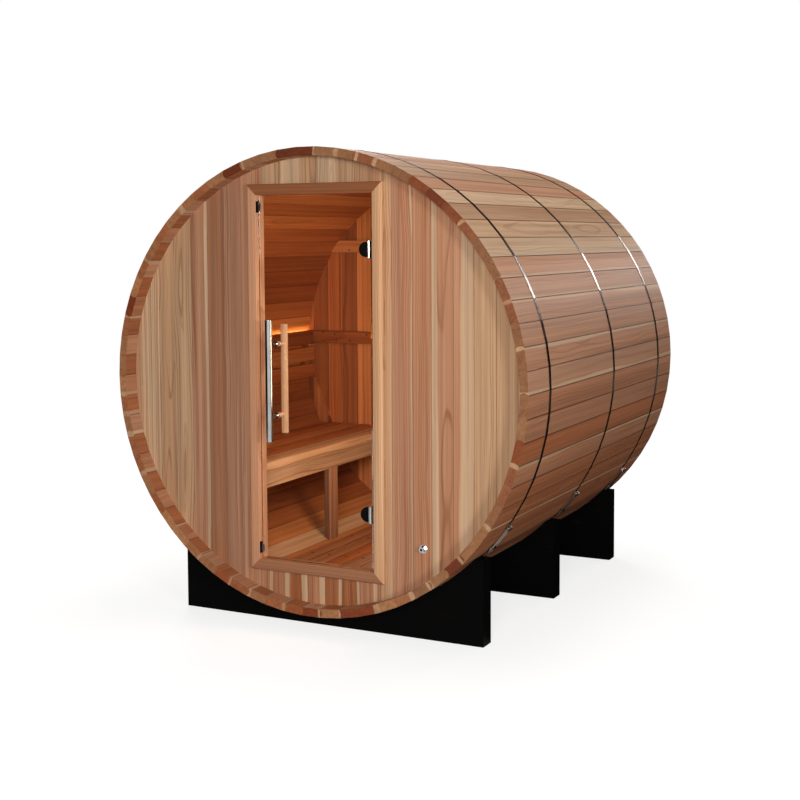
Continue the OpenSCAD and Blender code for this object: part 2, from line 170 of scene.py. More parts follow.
@dataclass(frozen=True)
class Board:
    """How one piece of timber lies and what its wood is like.

    Attributes:
        middle: A point on the board's own middle line.
        along: Direction of the grain.
        across: Direction over the board's width.
        half_width: Half the width, in metres.
        tone: Tone of the heartwood.
        cut: How it was sawn.
        sap: Its streak of sapwood.
        shade: Factor on the tone's lightness.
        ease: Width of the rounding along its edges, in metres.
        log: Its place in its log, where that is shared with another piece.
        out: Direction away from the room.
        room: Stretch along the board that lies in the room.
        lining: Tone of the face that looks into the room, where it differs.
        porch: Tone of that face outside the room, where it differs.
        sawn: Tone of its sawn ends, where it differs.
        end: Factor on the lightness of its sawn ends.
    """

    middle: Vector
    along: Vector
    across: Vector
    half_width: float
    tone: Tone
    cut: Cut = RIFT
    sap: Sap = Sap()
    shade: float = 1.0
    ease: float = 0.0
    log: Optional[Vector] = None
    out: Vector = ALONG_Z
    room: Point = (0.0, 0.0)
    lining: Optional[Tone] = None
    porch: Optional[Tone] = None
    sawn: Optional[Tone] = None
    end: float = 1.0


class Wiring:
    """Adds shader nodes to one tree and joins them."""

    def __init__(self, tree: bpy.types.NodeTree) -> None:
        """Keeps the tree that nodes are added to."""
        self.tree = tree

    def feed(self, socket: Socket, value: Feed) -> None:
        """Links an output to a socket, or sets the socket's own value.

        Args:
            socket: The socket.
            value: The output or the value.
        """
        if isinstance(value, Socket):
            self.tree.links.new(value, socket)
        else:
            socket.default_value = value

    def node(self, kind: str, feeds: Optional[Feeds] = None, **settings: object) -> bpy.types.Node:
        """Adds one node.

        Args:
            kind: The node's type name.
            feeds: What goes into each of its inputs.
            **settings: Properties of the node itself.

        Returns:
            The node.
        """
        made = self.tree.nodes.new(kind)
        for key, value in settings.items():
            setattr(made, key, value)
        for key, value in (feeds or {}).items():
            self.feed(made.inputs[key], value)
        return made

    def group(self, tree: bpy.types.NodeTree, feeds: Feeds) -> bpy.types.NodeOutputs:
        """Adds a node group, feeds its sockets and returns its outputs."""
        return self.node("ShaderNodeGroup", feeds, node_tree=tree).outputs

    def math(self, operation: str, *values: Feed) -> Socket:
        """Adds a Math node and returns its output."""
        return self.node("ShaderNodeMath", dict(enumerate(values)), operation=operation).outputs[0]

    def vector(self, operation: str, *values: Feed) -> Socket:
        """Adds a Vector Math node and returns its vector output."""
        return self.node("ShaderNodeVectorMath", dict(enumerate(values)), operation=operation).outputs[0]

    def split(self, value: Feed) -> bpy.types.NodeOutputs:
        """Splits a vector into its three parts."""
        return self.node("ShaderNodeSeparateXYZ", {0: value}).outputs

    def grey(self, value: Feed) -> Socket:
        """Makes a grey of one value."""
        return self.node("ShaderNodeCombineColor", {0: value, 1: value, 2: value}).outputs[0]

    def place(self) -> Socket:
        """Reads where a point lies in the piece's own space, in metres."""
        return self.node("ShaderNodeTexCoord").outputs["Object"]

    def noise(self, place: Feed, stretch: Place, detail: float = 2.0, part: int = 0) -> Socket:
        """Adds noise over a stretched space.

        Args:
            place: The vector that it is read at.
            stretch: Cells in a metre along each axis.
            detail: Octaves of finer noise.
            part: 0 for one value, 1 for three values.

        Returns:
            The noise.
        """
        feeds = {"Vector": self.vector("MULTIPLY", place, stretch), "Scale": 1.0, "Detail": detail}
        return self.node("ShaderNodeTexNoise", feeds).outputs[part]

    def drift(self, place: Feed, stretch: Place, detail: float = 2.0) -> Socket:
        """Adds noise as a vector that wanders about zero."""
        return self.vector("SUBTRACT", self.noise(place, stretch, detail, 1), (0.5, 0.5, 0.5))

    def span(self, value: Feed, low: Feed, high: Feed, to_low: float = 0.0, to_high: float = 1.0,
             soft: bool = True) -> Socket:
        """Maps a range of values to another, held at both ends.

        Args:
            value: What is mapped.
            low: Start of the range read.
            high: End of the range read.
            to_low: Result at the start.
            to_high: Result at the end.
            soft: Whether the slope eases in and out.

        Returns:
            The mapped value.
        """
        kind = "SMOOTHSTEP" if soft else "LINEAR"
        return self.node("ShaderNodeMapRange", {0: value, 1: low, 2: high, 3: to_low, 4: to_high},
                         interpolation_type=kind).outputs[0]

    def blend(self, share: Feed, first: Feed, second: Feed, mode: str = "MIX") -> Socket:
        """Mixes two colours.

        Args:
            share: Share of the second colour.
            first: First colour.
            second: Second colour.
            mode: How they blend.

        Returns:
            The mixed colour.
        """
        return self.node("ShaderNodeMix", {0: share, 6: first, 7: second},
                         data_type="RGBA", blend_type=mode).outputs[2]

    def stain(self, share: Feed, colour: Feed, dye: Feed) -> Socket:
        """Multiplies a colour by a dye, as far as the share says."""
        return self.blend(share, colour, dye, "MULTIPLY")

    def bump(self, height: Feed, strength: float, distance: float) -> Socket:
        """Turns heights into a bent normal."""
        feeds = {"Strength": strength, "Distance": distance, "Height": height}
        return self.node("ShaderNodeBump", feeds).outputs[0]

    def choose(self, share: Feed, first: Socket, second: Socket) -> Socket:
        """Mixes two shaders."""
        return self.node("ShaderNodeMixShader", {0: share, 1: first, 2: second}).outputs[0]


class Effect:
    """A shader node group that finishes share, built on first use."""

    name: str
    inputs: dict[str, str]
    outputs: dict[str, str] = {"Color": COLOUR, "Roughness": FLOAT, "Height": FLOAT}

    @classmethod
    def group(cls) -> bpy.types.NodeTree:
        """The group, made on first use."""
        return bpy.data.node_groups.get(cls.name) or cls.make()

    @classmethod
    def make(cls) -> bpy.types.NodeTree:
        """Builds the group with its named sockets.

        Returns:
            The group.
        """
        tree = bpy.data.node_groups.new(cls.name, "ShaderNodeTree")
        for side, sockets in (("INPUT", cls.inputs), ("OUTPUT", cls.outputs)):
            for label, kind in sockets.items():
                tree.interface.new_socket(label, in_out=side, socket_type=kind)
        w = Wiring(tree)
        given = {socket.name: socket for socket in w.node("NodeGroupInput").outputs}
        w.node("NodeGroupOutput", cls.wire(w, given))
        return tree

    @classmethod
    def wire(cls, w: Wiring, at: dict[str, Socket]) -> Feeds:
        """Wires the inside of the group.

        Args:
            w: The group's wiring.
            at: Its input sockets by name.

        Returns:
            What goes to each of its outputs.
        """
        raise NotImplementedError


class CedarFigure(Effect):
    """Year rings, streaks, fibre, knots and sapwood of a board, read in its own log, and the painted shade
    along its joints.
    """

    name = "cedar_figure"
    inputs = {"Grain": VECTOR, "Board": VECTOR, "Tone": COLOUR, "End": FLOAT, "Sap": VECTOR,
              "Ring Width": FLOAT, "Late Wood": FLOAT, "Streak": FLOAT, "Joint": FLOAT,
              "Joint Width": FLOAT, "Knots": FLOAT}
    cloud_dye: Opaque = (0.89, 0.80, 0.72, 1.0)
    late_dye: Opaque = (0.58, 0.42, 0.31, 1.0)
    knot_dye: Opaque = (0.34, 0.20, 0.13, 1.0)
    sawn_dye: Opaque = (0.86, 0.64, 0.48, 1.0)
    # Colour of the dark joint line and of the painted shade in the groove between boards.
    joint_shade_colour: Opaque = (0.16, 0.10, 0.08, 1.0)

    @classmethod
    def knots(cls, w: Wiring, at: dict[str, Socket]) -> tuple[Socket, Socket]:
        """Scatters knots through the log.

        Args:
            w: The group's wiring.
            at: Its input sockets by name.

        Returns:
            How far a knot pushes the rings round it, and the share of its dark heart.
        """
        cells = w.vector("MULTIPLY", at["Grain"], (9.0, 9.0, 5.0))
        cell = w.node("ShaderNodeTexVoronoi", {"Vector": cells, "Scale": 1.0}).outputs
        chance = w.node("ShaderNodeSeparateColor", {0: cell["Color"]}).outputs[0]
        rare = w.math("MULTIPLY", w.math("GREATER_THAN", chance, 0.74), at["Knots"])
        swirl = w.math("MULTIPLY", w.span(cell["Distance"], 0.0, 0.26, 2.4, 0.0), rare)
        heart = w.math("MULTIPLY", w.span(cell["Distance"], 0.03, 0.065, 0.85, 0.0), rare)
        return swirl, heart

    @classmethod
    def late_wood(cls, w: Wiring, at: dict[str, Socket], sway: Socket, swirl: Socket) -> Socket:
        """Finds the dark late wood of the year rings.

        Args:
            w: The group's wiring.
            at: Its input sockets by name.
            sway: Slow wander of the log's heart.
            swirl: Push of knots on the rings.

        Returns:
            Share of late wood.
        """
        wander = w.drift(at["Grain"], (28.0, 28.0, 4.0))
        moved = w.vector("ADD", at["Grain"], w.vector("MULTIPLY", sway, (0.05, 0.05, 0.0)))
        moved = w.vector("ADD", moved, w.vector("MULTIPLY", wander, (0.006, 0.006, 0.0)))
        across, into, _ = w.split(moved)
        heart = w.math("SQRT", w.math("MULTIPLY_ADD", across, across, w.math("MULTIPLY", into, into)))
        depth = {"W": w.math("MULTIPLY", heart, 60.0), "Scale": 1.0, "Detail": 2.0}
        uneven = w.node("ShaderNodeTexNoise", depth, noise_dimensions="1D").outputs[0]
        pushed = w.math("MULTIPLY_ADD", uneven, 2.2, swirl)
        season = w.math("FRACT", w.math("ADD", w.math("DIVIDE", heart, at["Ring Width"]), pushed))
        late = w.math("MULTIPLY", w.span(season, 0.55, 0.88), w.span(season, 0.94, 1.0, 1.0, 0.0))
        fade = w.span(w.noise(at["Grain"], (14.0, 14.0, 0.9)), 0.32, 0.58, 0.25, 1.0)
        return w.math("MULTIPLY", w.math("MULTIPLY", late, fade), at["Late Wood"])

    @classmethod
    def wire(cls, w: Wiring, at: dict[str, Socket]) -> Feeds:
        """Wires the figure, from the heartwood out to the joints.

        Args:
            w: The group's wiring.
            at: Its input sockets by name.

        Returns:
            What goes to each of its outputs.
        """
        sway = w.drift(at["Grain"], (6.0, 6.0, 1.7), 1.0)
        swirl, knot = cls.knots(w, at)
        late = cls.late_wood(w, at, sway, swirl)
        streak = w.noise(at["Grain"], (62.0, 62.0, 0.55), 4.0)
        cloud = w.noise(at["Grain"], (9.0, 9.0, 0.7), 3.0)
        fibre = w.noise(at["Grain"], (900.0, 900.0, 14.0))
        bands = w.math("MULTIPLY_ADD", w.span(streak, 0.3, 0.7, -1.0, 1.0, False), at["Streak"], 1.0)
        light = w.math("MULTIPLY", bands, w.span(fibre, 0.2, 0.8, 0.95, 1.05, False))
        wood = w.stain(w.span(cloud, 0.38, 0.66, 0.0, 0.7), at["Tone"], cls.cloud_dye)
        wood = w.stain(late, wood, cls.late_dye)
        across, half, _ = w.split(at["Board"])
        centre, reach, strength = w.split(at["Sap"])
        apart = w.math("SUBTRACT", w.math("MULTIPLY_ADD", w.split(sway)[0], 0.03, across), centre)
        edge = w.math("SUBTRACT", reach, w.math("ABSOLUTE", apart))
        pale = w.math("MULTIPLY", w.span(edge, -0.003, 0.003), strength)
        sapwood = w.blend(w.math("MULTIPLY", late, 0.5), opaque(CREAM.colour), opaque(TAN.colour))
        wood = w.stain(1.0, w.blend(pale, wood, sapwood), w.grey(light))
        wood = w.stain(knot, wood, cls.knot_dye)
        sawn = w.math("MULTIPLY", at["End"], w.math("MULTIPLY_ADD", pale, -0.8, 1.0))
        wood = w.stain(sawn, wood, cls.sawn_dye)
        # Darkens each board towards its long edges, except on sawn ends: a dark joint line together with
        # painted shade in the groove between boards.
        rim = w.math("SUBTRACT", half, w.math("ABSOLUTE", across))
        shadow = w.span(w.math("DIVIDE", rim, at["Joint Width"]), 0.1, 1.0, 1.0, 0.0)
        face = w.math("SUBTRACT", 1.0, at["End"])
        joint_shade = w.math("MULTIPLY", w.math("MULTIPLY", shadow, at["Joint"]), face)
        planed = w.span(fibre, 0.2, 0.8, 0.50, 0.66, False)
        return {"Color": w.stain(joint_shade, wood, cls.joint_shade_colour),
                "Roughness": w.math("MULTIPLY_ADD", late, -0.10, planed),
                "Height": w.math("MULTIPLY_ADD", fibre, 0.5, w.math("MULTIPLY", late, 0.5))}


class MetalGrain(Effect):
    """Fine rolling marks and dull patches of bare metal."""

    name = "metal_grain"
    inputs = {"Place": VECTOR, "Tint": COLOUR, "Polish": FLOAT}

    @classmethod
    def wire(cls, w: Wiring, at: dict[str, Socket]) -> Feeds:
        """Wires the marks and patches.

        Args:
            w: The group's wiring.
            at: Its input sockets by name.

        Returns:
            What goes to each of its outputs.
        """
        marks = w.noise(at["Place"], (420.0, 900.0, 420.0))
        dull = w.noise(at["Place"], (14.0, 14.0, 14.0), 3.0)
        grey = w.grey(w.span(dull, 0.35, 0.75, 1.0, 0.80))
        rough = w.math("MULTIPLY", w.math("MULTIPLY_ADD", marks, 0.5, dull), at["Polish"])
        return {"Color": w.stain(1.0, at["Tint"], grey), "Height": marks,
                "Roughness": w.math("ADD", at["Polish"], rough)}


class PaintedGrain(Effect):
    """Brushed paint over coarse wood grain, rubbed through in places."""

    name = "painted_grain"
    inputs = {"Place": VECTOR, "Paint": COLOUR, "Under": COLOUR}

    @classmethod
    def wire(cls, w: Wiring, at: dict[str, Socket]) -> Feeds:
        """Wires the grain and the worn places.

        Args:
            w: The group's wiring.
            at: Its input sockets by name.

        Returns:
            What goes to each of its outputs.
        """
        grain = w.noise(at["Place"], (5.0, 160.0, 160.0), 3.0)
        patch = w.noise(at["Place"], (9.0, 16.0, 16.0), 4.0)
        worn = w.math("MULTIPLY", w.span(patch, 0.62, 0.78), w.span(grain, 0.45, 0.7))
        sheer = w.blend(0.12, at["Paint"], at["Under"])
        thin = w.blend(w.span(grain, 0.35, 0.75, 0.0, 0.3), at["Paint"], sheer)
        return {"Color": w.blend(w.math("MULTIPLY", worn, 0.35), thin, at["Under"]), "Height": grain,
                "Roughness": w.span(grain, 0.2, 0.8, 0.45, 0.72, False)}


class PaneSmears(Effect):
    """Faint wiping marks on clean glass."""

    name = "pane_smears"
    inputs = {"Place": VECTOR}
    outputs = {"Color": COLOUR, "Height": FLOAT}

    @classmethod
    def wire(cls, w: Wiring, at: dict[str, Socket]) -> Feeds:
        """Wires the marks.

        Args:
            w: The group's wiring.
            at: Its input sockets by name.

        Returns:
            What goes to each of its outputs.
        """
        wipe = w.noise(at["Place"], (3.0, 3.0, 9.0), 3.0)
        tint = w.blend(w.span(wipe, 0.4, 0.7), (0.99, 1.0, 0.995, 1.0), (0.96, 0.985, 0.975, 1.0))
        return {"Color": tint, "Height": wipe}


class LampRow(Effect):
    """A row of small warm lamps behind a clouded cover."""

    name = "lamp_row"
    inputs = {"Place": VECTOR}
    outputs = {"Glow": COLOUR, "Roughness": FLOAT}
    per_metre: float = 60.0
    lit: Colour = linear(255, 222, 160)
    between: Colour = linear(255, 190, 104)

    @classmethod
    def wire(cls, w: Wiring, at: dict[str, Socket]) -> Feeds:
        """Wires the row and its cover.

        Args:
            w: The group's wiring.
            at: Its input sockets by name.

        Returns:
            What goes to each of its outputs.
        """
        step = w.math("FRACT", w.math("MULTIPLY", w.split(at["Place"])[1], cls.per_metre))
        beat = w.math("ABSOLUTE", w.math("SUBTRACT", step, 0.5))
        return {"Glow": w.blend(w.span(beat, 0.0, 0.35), opaque(cls.lit), opaque(cls.between)),
                "Roughness": w.span(w.noise(at["Place"], (40.0, 40.0, 40.0)), 0.2, 0.8, 0.35, 0.6)}


@dataclass(frozen=True)
class Finish:
    """What all finishes share: a material on one Principled shader, made on first use."""

    name: str

    def material(self) -> bpy.types.Material:
        """The finish as a material, made on first use."""
        return bpy.data.materials.get(self.name) or self.make()

    def make(self) -> bpy.types.Material:
        """Builds the material.

        Returns:
            The material.
        """
        material = bpy.data.materials.new(self.name)
        material.use_nodes = True
        material.node_tree.nodes.clear()
        w = Wiring(material.node_tree)
        shader = w.node("ShaderNodeBsdfPrincipled", self.wire(w))
        w.node("ShaderNodeOutputMaterial", {"Surface": self.surface(w, shader.outputs[0])})
        return material

    def wire(self, w: Wiring) -> Feeds:
        """What goes into each input of the shader."""
        raise NotImplementedError

    def surface(self, w: Wiring, shaded: Socket) -> Socket:
        """What the surface shows: the shader alone, unless a finish adds to it."""
        return shaded


@dataclass(frozen=True)
class CedarFinish(Finish):
    """Planed, unfinished cedar.

    Attributes:
        slot: The record's slot; nothing here reads it.
        ring: Width of a year ring, in metres.
        late: How dark late wood is, 0 to 1.
        streak: How far streaks of light and dark wood part, 0 to 1.
        joint: How dark the joints between boards are painted, a dark joint line with painted shade in the
            groove, 0 to 1.
        joint_width: How far a joint's shadow reaches over a board, in metres.
        specular: Specular level of the shader.
        knots: 1 for wood with knots, 0 for clear wood.
    """

    slot: str
    ring: float
    late: float
    streak: float = 0.2
    joint: float = 0.6
    joint_width: float = 0.0026
    specular: float = 0.25
    knots: float = 0.0

    def wire(self, w: Wiring) -> Feeds:
        """Reads what each board carries and feeds it to the figure.

        Args:
            w: The material's wiring.

        Returns:
            What goes into each input of the shader.
        """
        grain, board, tone, sap = (w.node("ShaderNodeAttribute", attribute_name=name).outputs
                                   for name in ("grain", "board", "tone", "sap"))
        wood = w.group(CedarFigure.group(), {
            "Grain": grain["Vector"], "Board": board["Vector"], "Tone": tone["Color"], "End": tone["Alpha"],
            "Sap": sap["Vector"], "Ring Width": self.ring, "Late Wood": self.late, "Streak": self.streak,
            "Joint": self.joint, "Joint Width": self.joint_width, "Knots": self.knots})
        return {"Base Color": wood["Color"], "Roughness": wood["Roughness"],
                "Normal": w.bump(wood["Height"], 0.35, 0.0006), "Specular IOR Level": self.specular}


@dataclass(frozen=True)
class MetalFinish(Finish):
    """Bare or plated metal."""

    tint: Screen
    polish: float
    marks: float = 0.1

    def wire(self, w: Wiring) -> Feeds:
        """Feeds the metal's marks to the shader.

        Args:
            w: The material's wiring.

        Returns:
            What goes into each input of the shader.
        """
        tint = opaque(linear(*self.tint))
        metal = w.group(MetalGrain.group(), {"Place": w.place(), "Tint": tint, "Polish": self.polish})
        return {"Base Color": metal["Color"], "Roughness": metal["Roughness"], "Metallic": 1.0,
                "Normal": w.bump(metal["Height"], self.marks, 0.0002)}


@dataclass(frozen=True)
class PaintFinish(Finish):
    """Paint brushed on planks or sprayed on metal."""

    paint: Screen
    under: Screen
    grain: float = 0.3
    specular: float = 0.02

    def wire(self, w: Wiring) -> Feeds:
        """Feeds the coat to the shader.

        Args:
            w: The material's wiring.

        Returns:
            What goes into each input of the shader.
        """
        coat = w.group(PaintedGrain.group(), {"Place": w.place(), "Paint": opaque(linear(*self.paint)),
                                              "Under": opaque(linear(*self.under))})
        return {"Base Color": coat["Color"], "Roughness": coat["Roughness"],
                "Normal": w.bump(coat["Height"], self.grain, 0.0008), "Specular IOR Level": self.specular}


@dataclass(frozen=True)
class GlassFinish(Finish):
    """Clear toughened glass, with a low IOR so that the white surround doesn't veil the room."""

    ior: float = 1.3

    def wire(self, w: Wiring) -> Feeds:
        """Feeds the pane's smears to the shader.

        Args:
            w: The material's wiring.

        Returns:
            What goes into each input of the shader.
        """
        pane = w.group(PaneSmears.group(), {"Place": w.place()})
        return {"Base Color": pane["Color"], "Normal": w.bump(pane["Height"], 0.02, 0.0005),
                "Roughness": 0.0, "IOR": self.ior, "Transmission Weight": 1.0}

    def surface(self, w: Wiring, shaded: Socket) -> Socket:
        """Lets the rays of lamps and of soft light straight through.

        Args:
            w: The material's wiring.
            shaded: The shader's output.

        Returns:
            What the surface shows.
        """
        path = w.node("ShaderNodeLightPath").outputs
        passing = w.math("MAXIMUM", path["Is Shadow Ray"], path["Is Diffuse Ray"])
        return w.choose(passing, shaded, w.node("ShaderNodeBsdfTransparent").outputs[0])


@dataclass(frozen=True)
class LampFinish(Finish):
    """Clouded cover over a row of warm lamps."""

    strength: float = 22.0

    def wire(self, w: Wiring) -> Feeds:
        """Feeds the row's glow to the shader.

        Args:
            w: The material's wiring.

        Returns:
            What goes into each input of the shader.
        """
        row = w.group(LampRow.group(), {"Place": w.place()})
        return {"Base Color": row["Glow"], "Emission Color": row["Glow"], "Roughness": row["Roughness"],
                "Emission Strength": self.strength}


STAVE_WOOD = CedarFinish("cedar_stave_wood", "cedar_stave", ring=0.0110, late=0.46, streak=0.19, joint=0.97,
                         joint_width=0.0052, specular=0.3, knots=1.0)
WALL_WOOD = CedarFinish("cedar_wall_wood", "cedar_wall", ring=0.0105, late=0.72, joint=0.42,
                        joint_width=0.0022)
TRIM_WOOD = CedarFinish("cedar_trim_wood", "cedar_trim", ring=0.0070, late=0.55, joint=0.0)
INSIDE_WOOD = CedarFinish("cedar_inside_wood", "cedar_inside", ring=0.0090, late=0.75, streak=0.24, knots=1.0)
CHROME = MetalFinish("polished_chrome", (178, 177, 176), 0.07, 0.02)
ZINC = MetalFinish("zinc_plate", (158, 150, 142), 0.18, 0.05)
STEEL = MetalFinish("rolled_steel", (96, 86, 80), 0.16)
NAIL_STEEL = MetalFinish("dark_nail_steel", (70, 62, 56), 0.45)
BLACK_METAL = PaintFinish("satin_black_metal", (14, 14, 15), (50, 50, 50), 0.03)
BLACK_PAINT = PaintFinish("black_plank_paint", (5, 5, 5), (40, 28, 20))
CLEAR_GLASS = GlassFinish("clear_glass")
LAMP_COVER = LampFinish("lamp_cover")


def loft(rings: Sequence[Sequence[Vector]]) -> Solid:
    """Joins matching closed outlines into one solid.

    Args:
        rings: Outlines with the same number of points, in order.

    Returns:
        Points and faces, with both ends closed.
    """
    points = [Vector(p) for ring in rings for p in ring]
    n = len(rings[0])
    faces: Faces = [tuple(range(n)), tuple(range(len(points) - n, len(points)))]
    for r in range(len(rings) - 1):
        for k in range(n):
            a, b = r * n + k, r * n + (k + 1) % n
            faces.append((a, b, b + n, a + n))
    return points, faces


def slab(outline: Sequence[Point], y0: float, y1: float) -> Solid:
    """An outline in X and Z, taken from one station along Y to another."""
    return loft([[Vector((x, y, z)) for x, z in outline] for y in (y0, y1)])


def block(low: Sequence[float], high: Sequence[float]) -> Solid:
    """A squared board between two corners."""
    (x0, y0, z0), (x1, y1, z1) = low, high
    return slab(((x0, z0), (x1, z0), (x1, z1), (x0, z1)), y0, y1)


def turned(stations: Iterable[Point], base: Vector, along: Vector, sides: int) -> list[list[Vector]]:
    """Rings of a turned shape.

    Args:
        stations: Distance along the axis and radius there, in order.
        base: Start of the axis.
        along: Direction of the axis.
        sides: Points round each ring.

    Returns:
        The rings in order.
    """
    side = along.orthogonal().normalized()
    other = along.cross(side)
    turn = [2 * math.pi * k / sides for k in range(sides)]
    spokes = [side * math.cos(a) + other * math.sin(a) for a in turn]
    return [[base + along * d + spoke * r for spoke in spokes] for d, r in stations]


SHARP_EDGE = math.radians(35.0)


def eased(solid: Solid, ease: float) -> bmesh.types.BMesh:
    """Makes a solid with its sharp edges rounded.

    Args:
        solid: Its points and faces.
        ease: Width of the rounding, in metres.

    Returns:
        The shape, with its normals outwards.
    """
    points, faces = solid
    shape = bmesh.new()
    corners = [shape.verts.new(p) for p in points]
    for face in faces:
        shape.faces.new([corners[k] for k in face])
    bmesh.ops.remove_doubles(shape, verts=shape.verts, dist=1e-6)
    bmesh.ops.recalc_face_normals(shape, faces=shape.faces)
    if ease > 0.0:
        sharp = [e for e in shape.edges if e.is_manifold and e.calc_face_angle() > SHARP_EDGE]
        bmesh.ops.bevel(shape, geom=sharp, offset=ease, segments=2, profile=0.6, affect="EDGES",
                        clamp_overlap=True)
    shape.normal_update()
    shape.verts.index_update()
    return shape


def set_out(mesh: bpy.types.Mesh, finish: Finish, body: Body) -> Piece:
    """Makes a mesh a piece of the scene.

    Args:
        mesh: The mesh, whose name the piece takes.
        finish: Its finish.
        body: The body that it rides on.

    Returns:
        The piece.
    """
    mesh.shade_smooth()
    mesh.materials.append(finish.material())
    piece = bpy.data.objects.new(mesh.name, mesh)
    bpy.context.scene.collection.objects.link(piece)
    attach(piece, body.value)
    LOG.info("%s: %d faces, rides on %s", piece.name, len(mesh.polygons), body.value)
    return piece


class Timber:
    """Gathers boards into one mesh in which each keeps its own grain and tone."""

    lift: float = 0.05
    warmth: float = 0.03
    end_on: float = 0.75
    inward: float = 0.6
    crease: float = math.radians(28.0)

    def __init__(self, name: str, seed: int) -> None:
        """Starts an empty pile.

        Args:
            name: Name of the piece.
            seed: Start of its chance.
        """
        self.name = name
        self.rng = random.Random(seed)
        self.points: list[Vector] = []
        self.faces: Faces = []
        self.grain: list[Vector] = []
        self.board: list[Vector] = []
        self.tone: list[Opaque] = []
        self.sap: list[Vector] = []

    def add(self, solid: Solid, board: Board) -> None:
        """Adds one board.

        Args:
            solid: Its points and faces.
            board: How it lies and what its wood is like.
        """
        log = board.log or board.cut.place_in_log(self.rng)
        lift = board.shade * (1.0 + self.rng.uniform(-self.lift, self.lift))
        warm = self.rng.uniform(-self.warmth, self.warmth)
        shift = (lift * (1.0 + warm), lift, lift * (1.0 - warm))
        face, inside, porch, sawn = (tuple(c * k for c, k in zip((tone or board.tone).colour, shift))
                                     for tone in (board.tone, board.lining, board.porch, board.sawn))
        shape = eased(solid, board.ease)
        into = board.along.cross(board.across)
        start = len(self.points)
        for v in shape.verts:
            away = v.co - board.middle
            local = Vector((away.dot(board.across), away.dot(into), away.dot(board.along)))
            self.points.append(v.co.copy())
            self.grain.append(local + log)
            self.board.append(Vector((local.x, board.half_width, local.z)))
        for f in shape.faces:
            at = (f.calc_center_median() - board.middle).dot(board.along)
            end = abs(f.normal.dot(board.along)) > self.end_on
            inward = f.normal.dot(board.out) < -self.inward
            lined = board.lining is not None and inward and board.room[0] < at < board.room[1]
            if end:
                shown = tuple(c * board.end for c in sawn)
            elif inward:
                shown = inside if lined else porch
            else:
                shown = face
            self.faces.append(tuple(start + v.index for v in f.verts))
            self.tone.append((*shown, float(end)))
            self.sap.append(Vector((board.sap.centre, board.sap.half, 0.0 if lined else board.sap.strength)))
        shape.free()

    def make(self, finish: CedarFinish, node: str, body: Body = Body.BARREL) -> None:
        """Turns the pile into one piece of the scene.

        Args:
            finish: Its finish.
            node: The frame's node that it stands for.
            body: The body that it rides on.
        """
        mesh = bpy.data.meshes.new(self.name)
        mesh.from_pydata(self.points, [], self.faces)
        for name, kind, domain, values, key in (
                ("grain", "FLOAT_VECTOR", "POINT", self.grain, "vector"),
                ("board", "FLOAT_VECTOR", "POINT", self.board, "vector"),
                ("tone", "FLOAT_COLOR", "FACE", self.tone, "color"),
                ("sap", "FLOAT_VECTOR", "FACE", self.sap, "vector")):
            layer = mesh.attributes.new(name, kind, domain)
            layer.data.foreach_set(key, [c for value in values for c in value])
        piece = set_out(mesh, finish, body)
        mesh.set_sharp_from_angle(angle=self.crease)
        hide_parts(node)

    @classmethod
    def piled(cls, name: str, seed: int, finish: CedarFinish, node: str,
              boards: Iterable[tuple[Solid, Board]], body: Body = Body.BARREL) -> None:
        """Piles boards and makes them one piece.

        Args:
            name: Name of the piece.
            seed: Start of its chance.
            finish: Its finish.
            node: The frame's node that it stands for.
            boards: Its boards in order.
            body: The body that it rides on.
        """
        pile = cls(name, seed)
        for solid, board in boards:
            pile.add(solid, board)
        pile.make(finish, node, body)


@dataclass(frozen=True)
class Shell:
    """Sizes of the barrel that the other pieces are set out from, in metres."""

    count: int = 66
    corner: float = 0.900
    thick: float = 0.033
    play: float = 0.0004
    half_length: float = highest("staves_top").y
    axis: float = (highest("staves_top").z + lowest("staves_bottom").z) / 2
    wall_front: float = lowest("front_wall_left").y
    wall_back: float = highest("front_wall_left").y
    rear_front: float = lowest("rear_wall").y
    rear_back: float = highest("rear_wall").y
    disc: float = highest("rear_wall").x

    @property
    def pitch(self) -> float:
        """Angle of one stave."""
        return 2.0 * math.pi / self.count

    @property
    def outer(self) -> float:
        """Distance from the axis to the outer flats."""
        return self.corner * math.cos(self.pitch / 2)

    @property
    def inner(self) -> float:
        """Distance from the axis to the inner flats."""
        return self.outer - self.thick

    @property
    def face(self) -> float:
        """Width of a stave's outer face."""
        return 2.0 * self.corner * math.sin(self.pitch / 2)

    def reach(self, height: float) -> float:
        """Half the width of the room at a height over the ground."""
        return math.sqrt((self.inner - self.play) ** 2 - (height - self.axis) ** 2)

    def ground(self, x: float) -> float:
        """Height at which a board stands on the staves, at a distance from the middle."""
        return self.axis - math.sqrt((self.inner - self.play) ** 2 - x * x)


SHELL = Shell()


def numbered(first: int, *runs: tuple[Tone, int]) -> dict[int, Tone]:
    """Numbers staves in order, given as runs of one tone."""
    return dict(enumerate((tone for tone, count in runs for _ in range(count)), first))


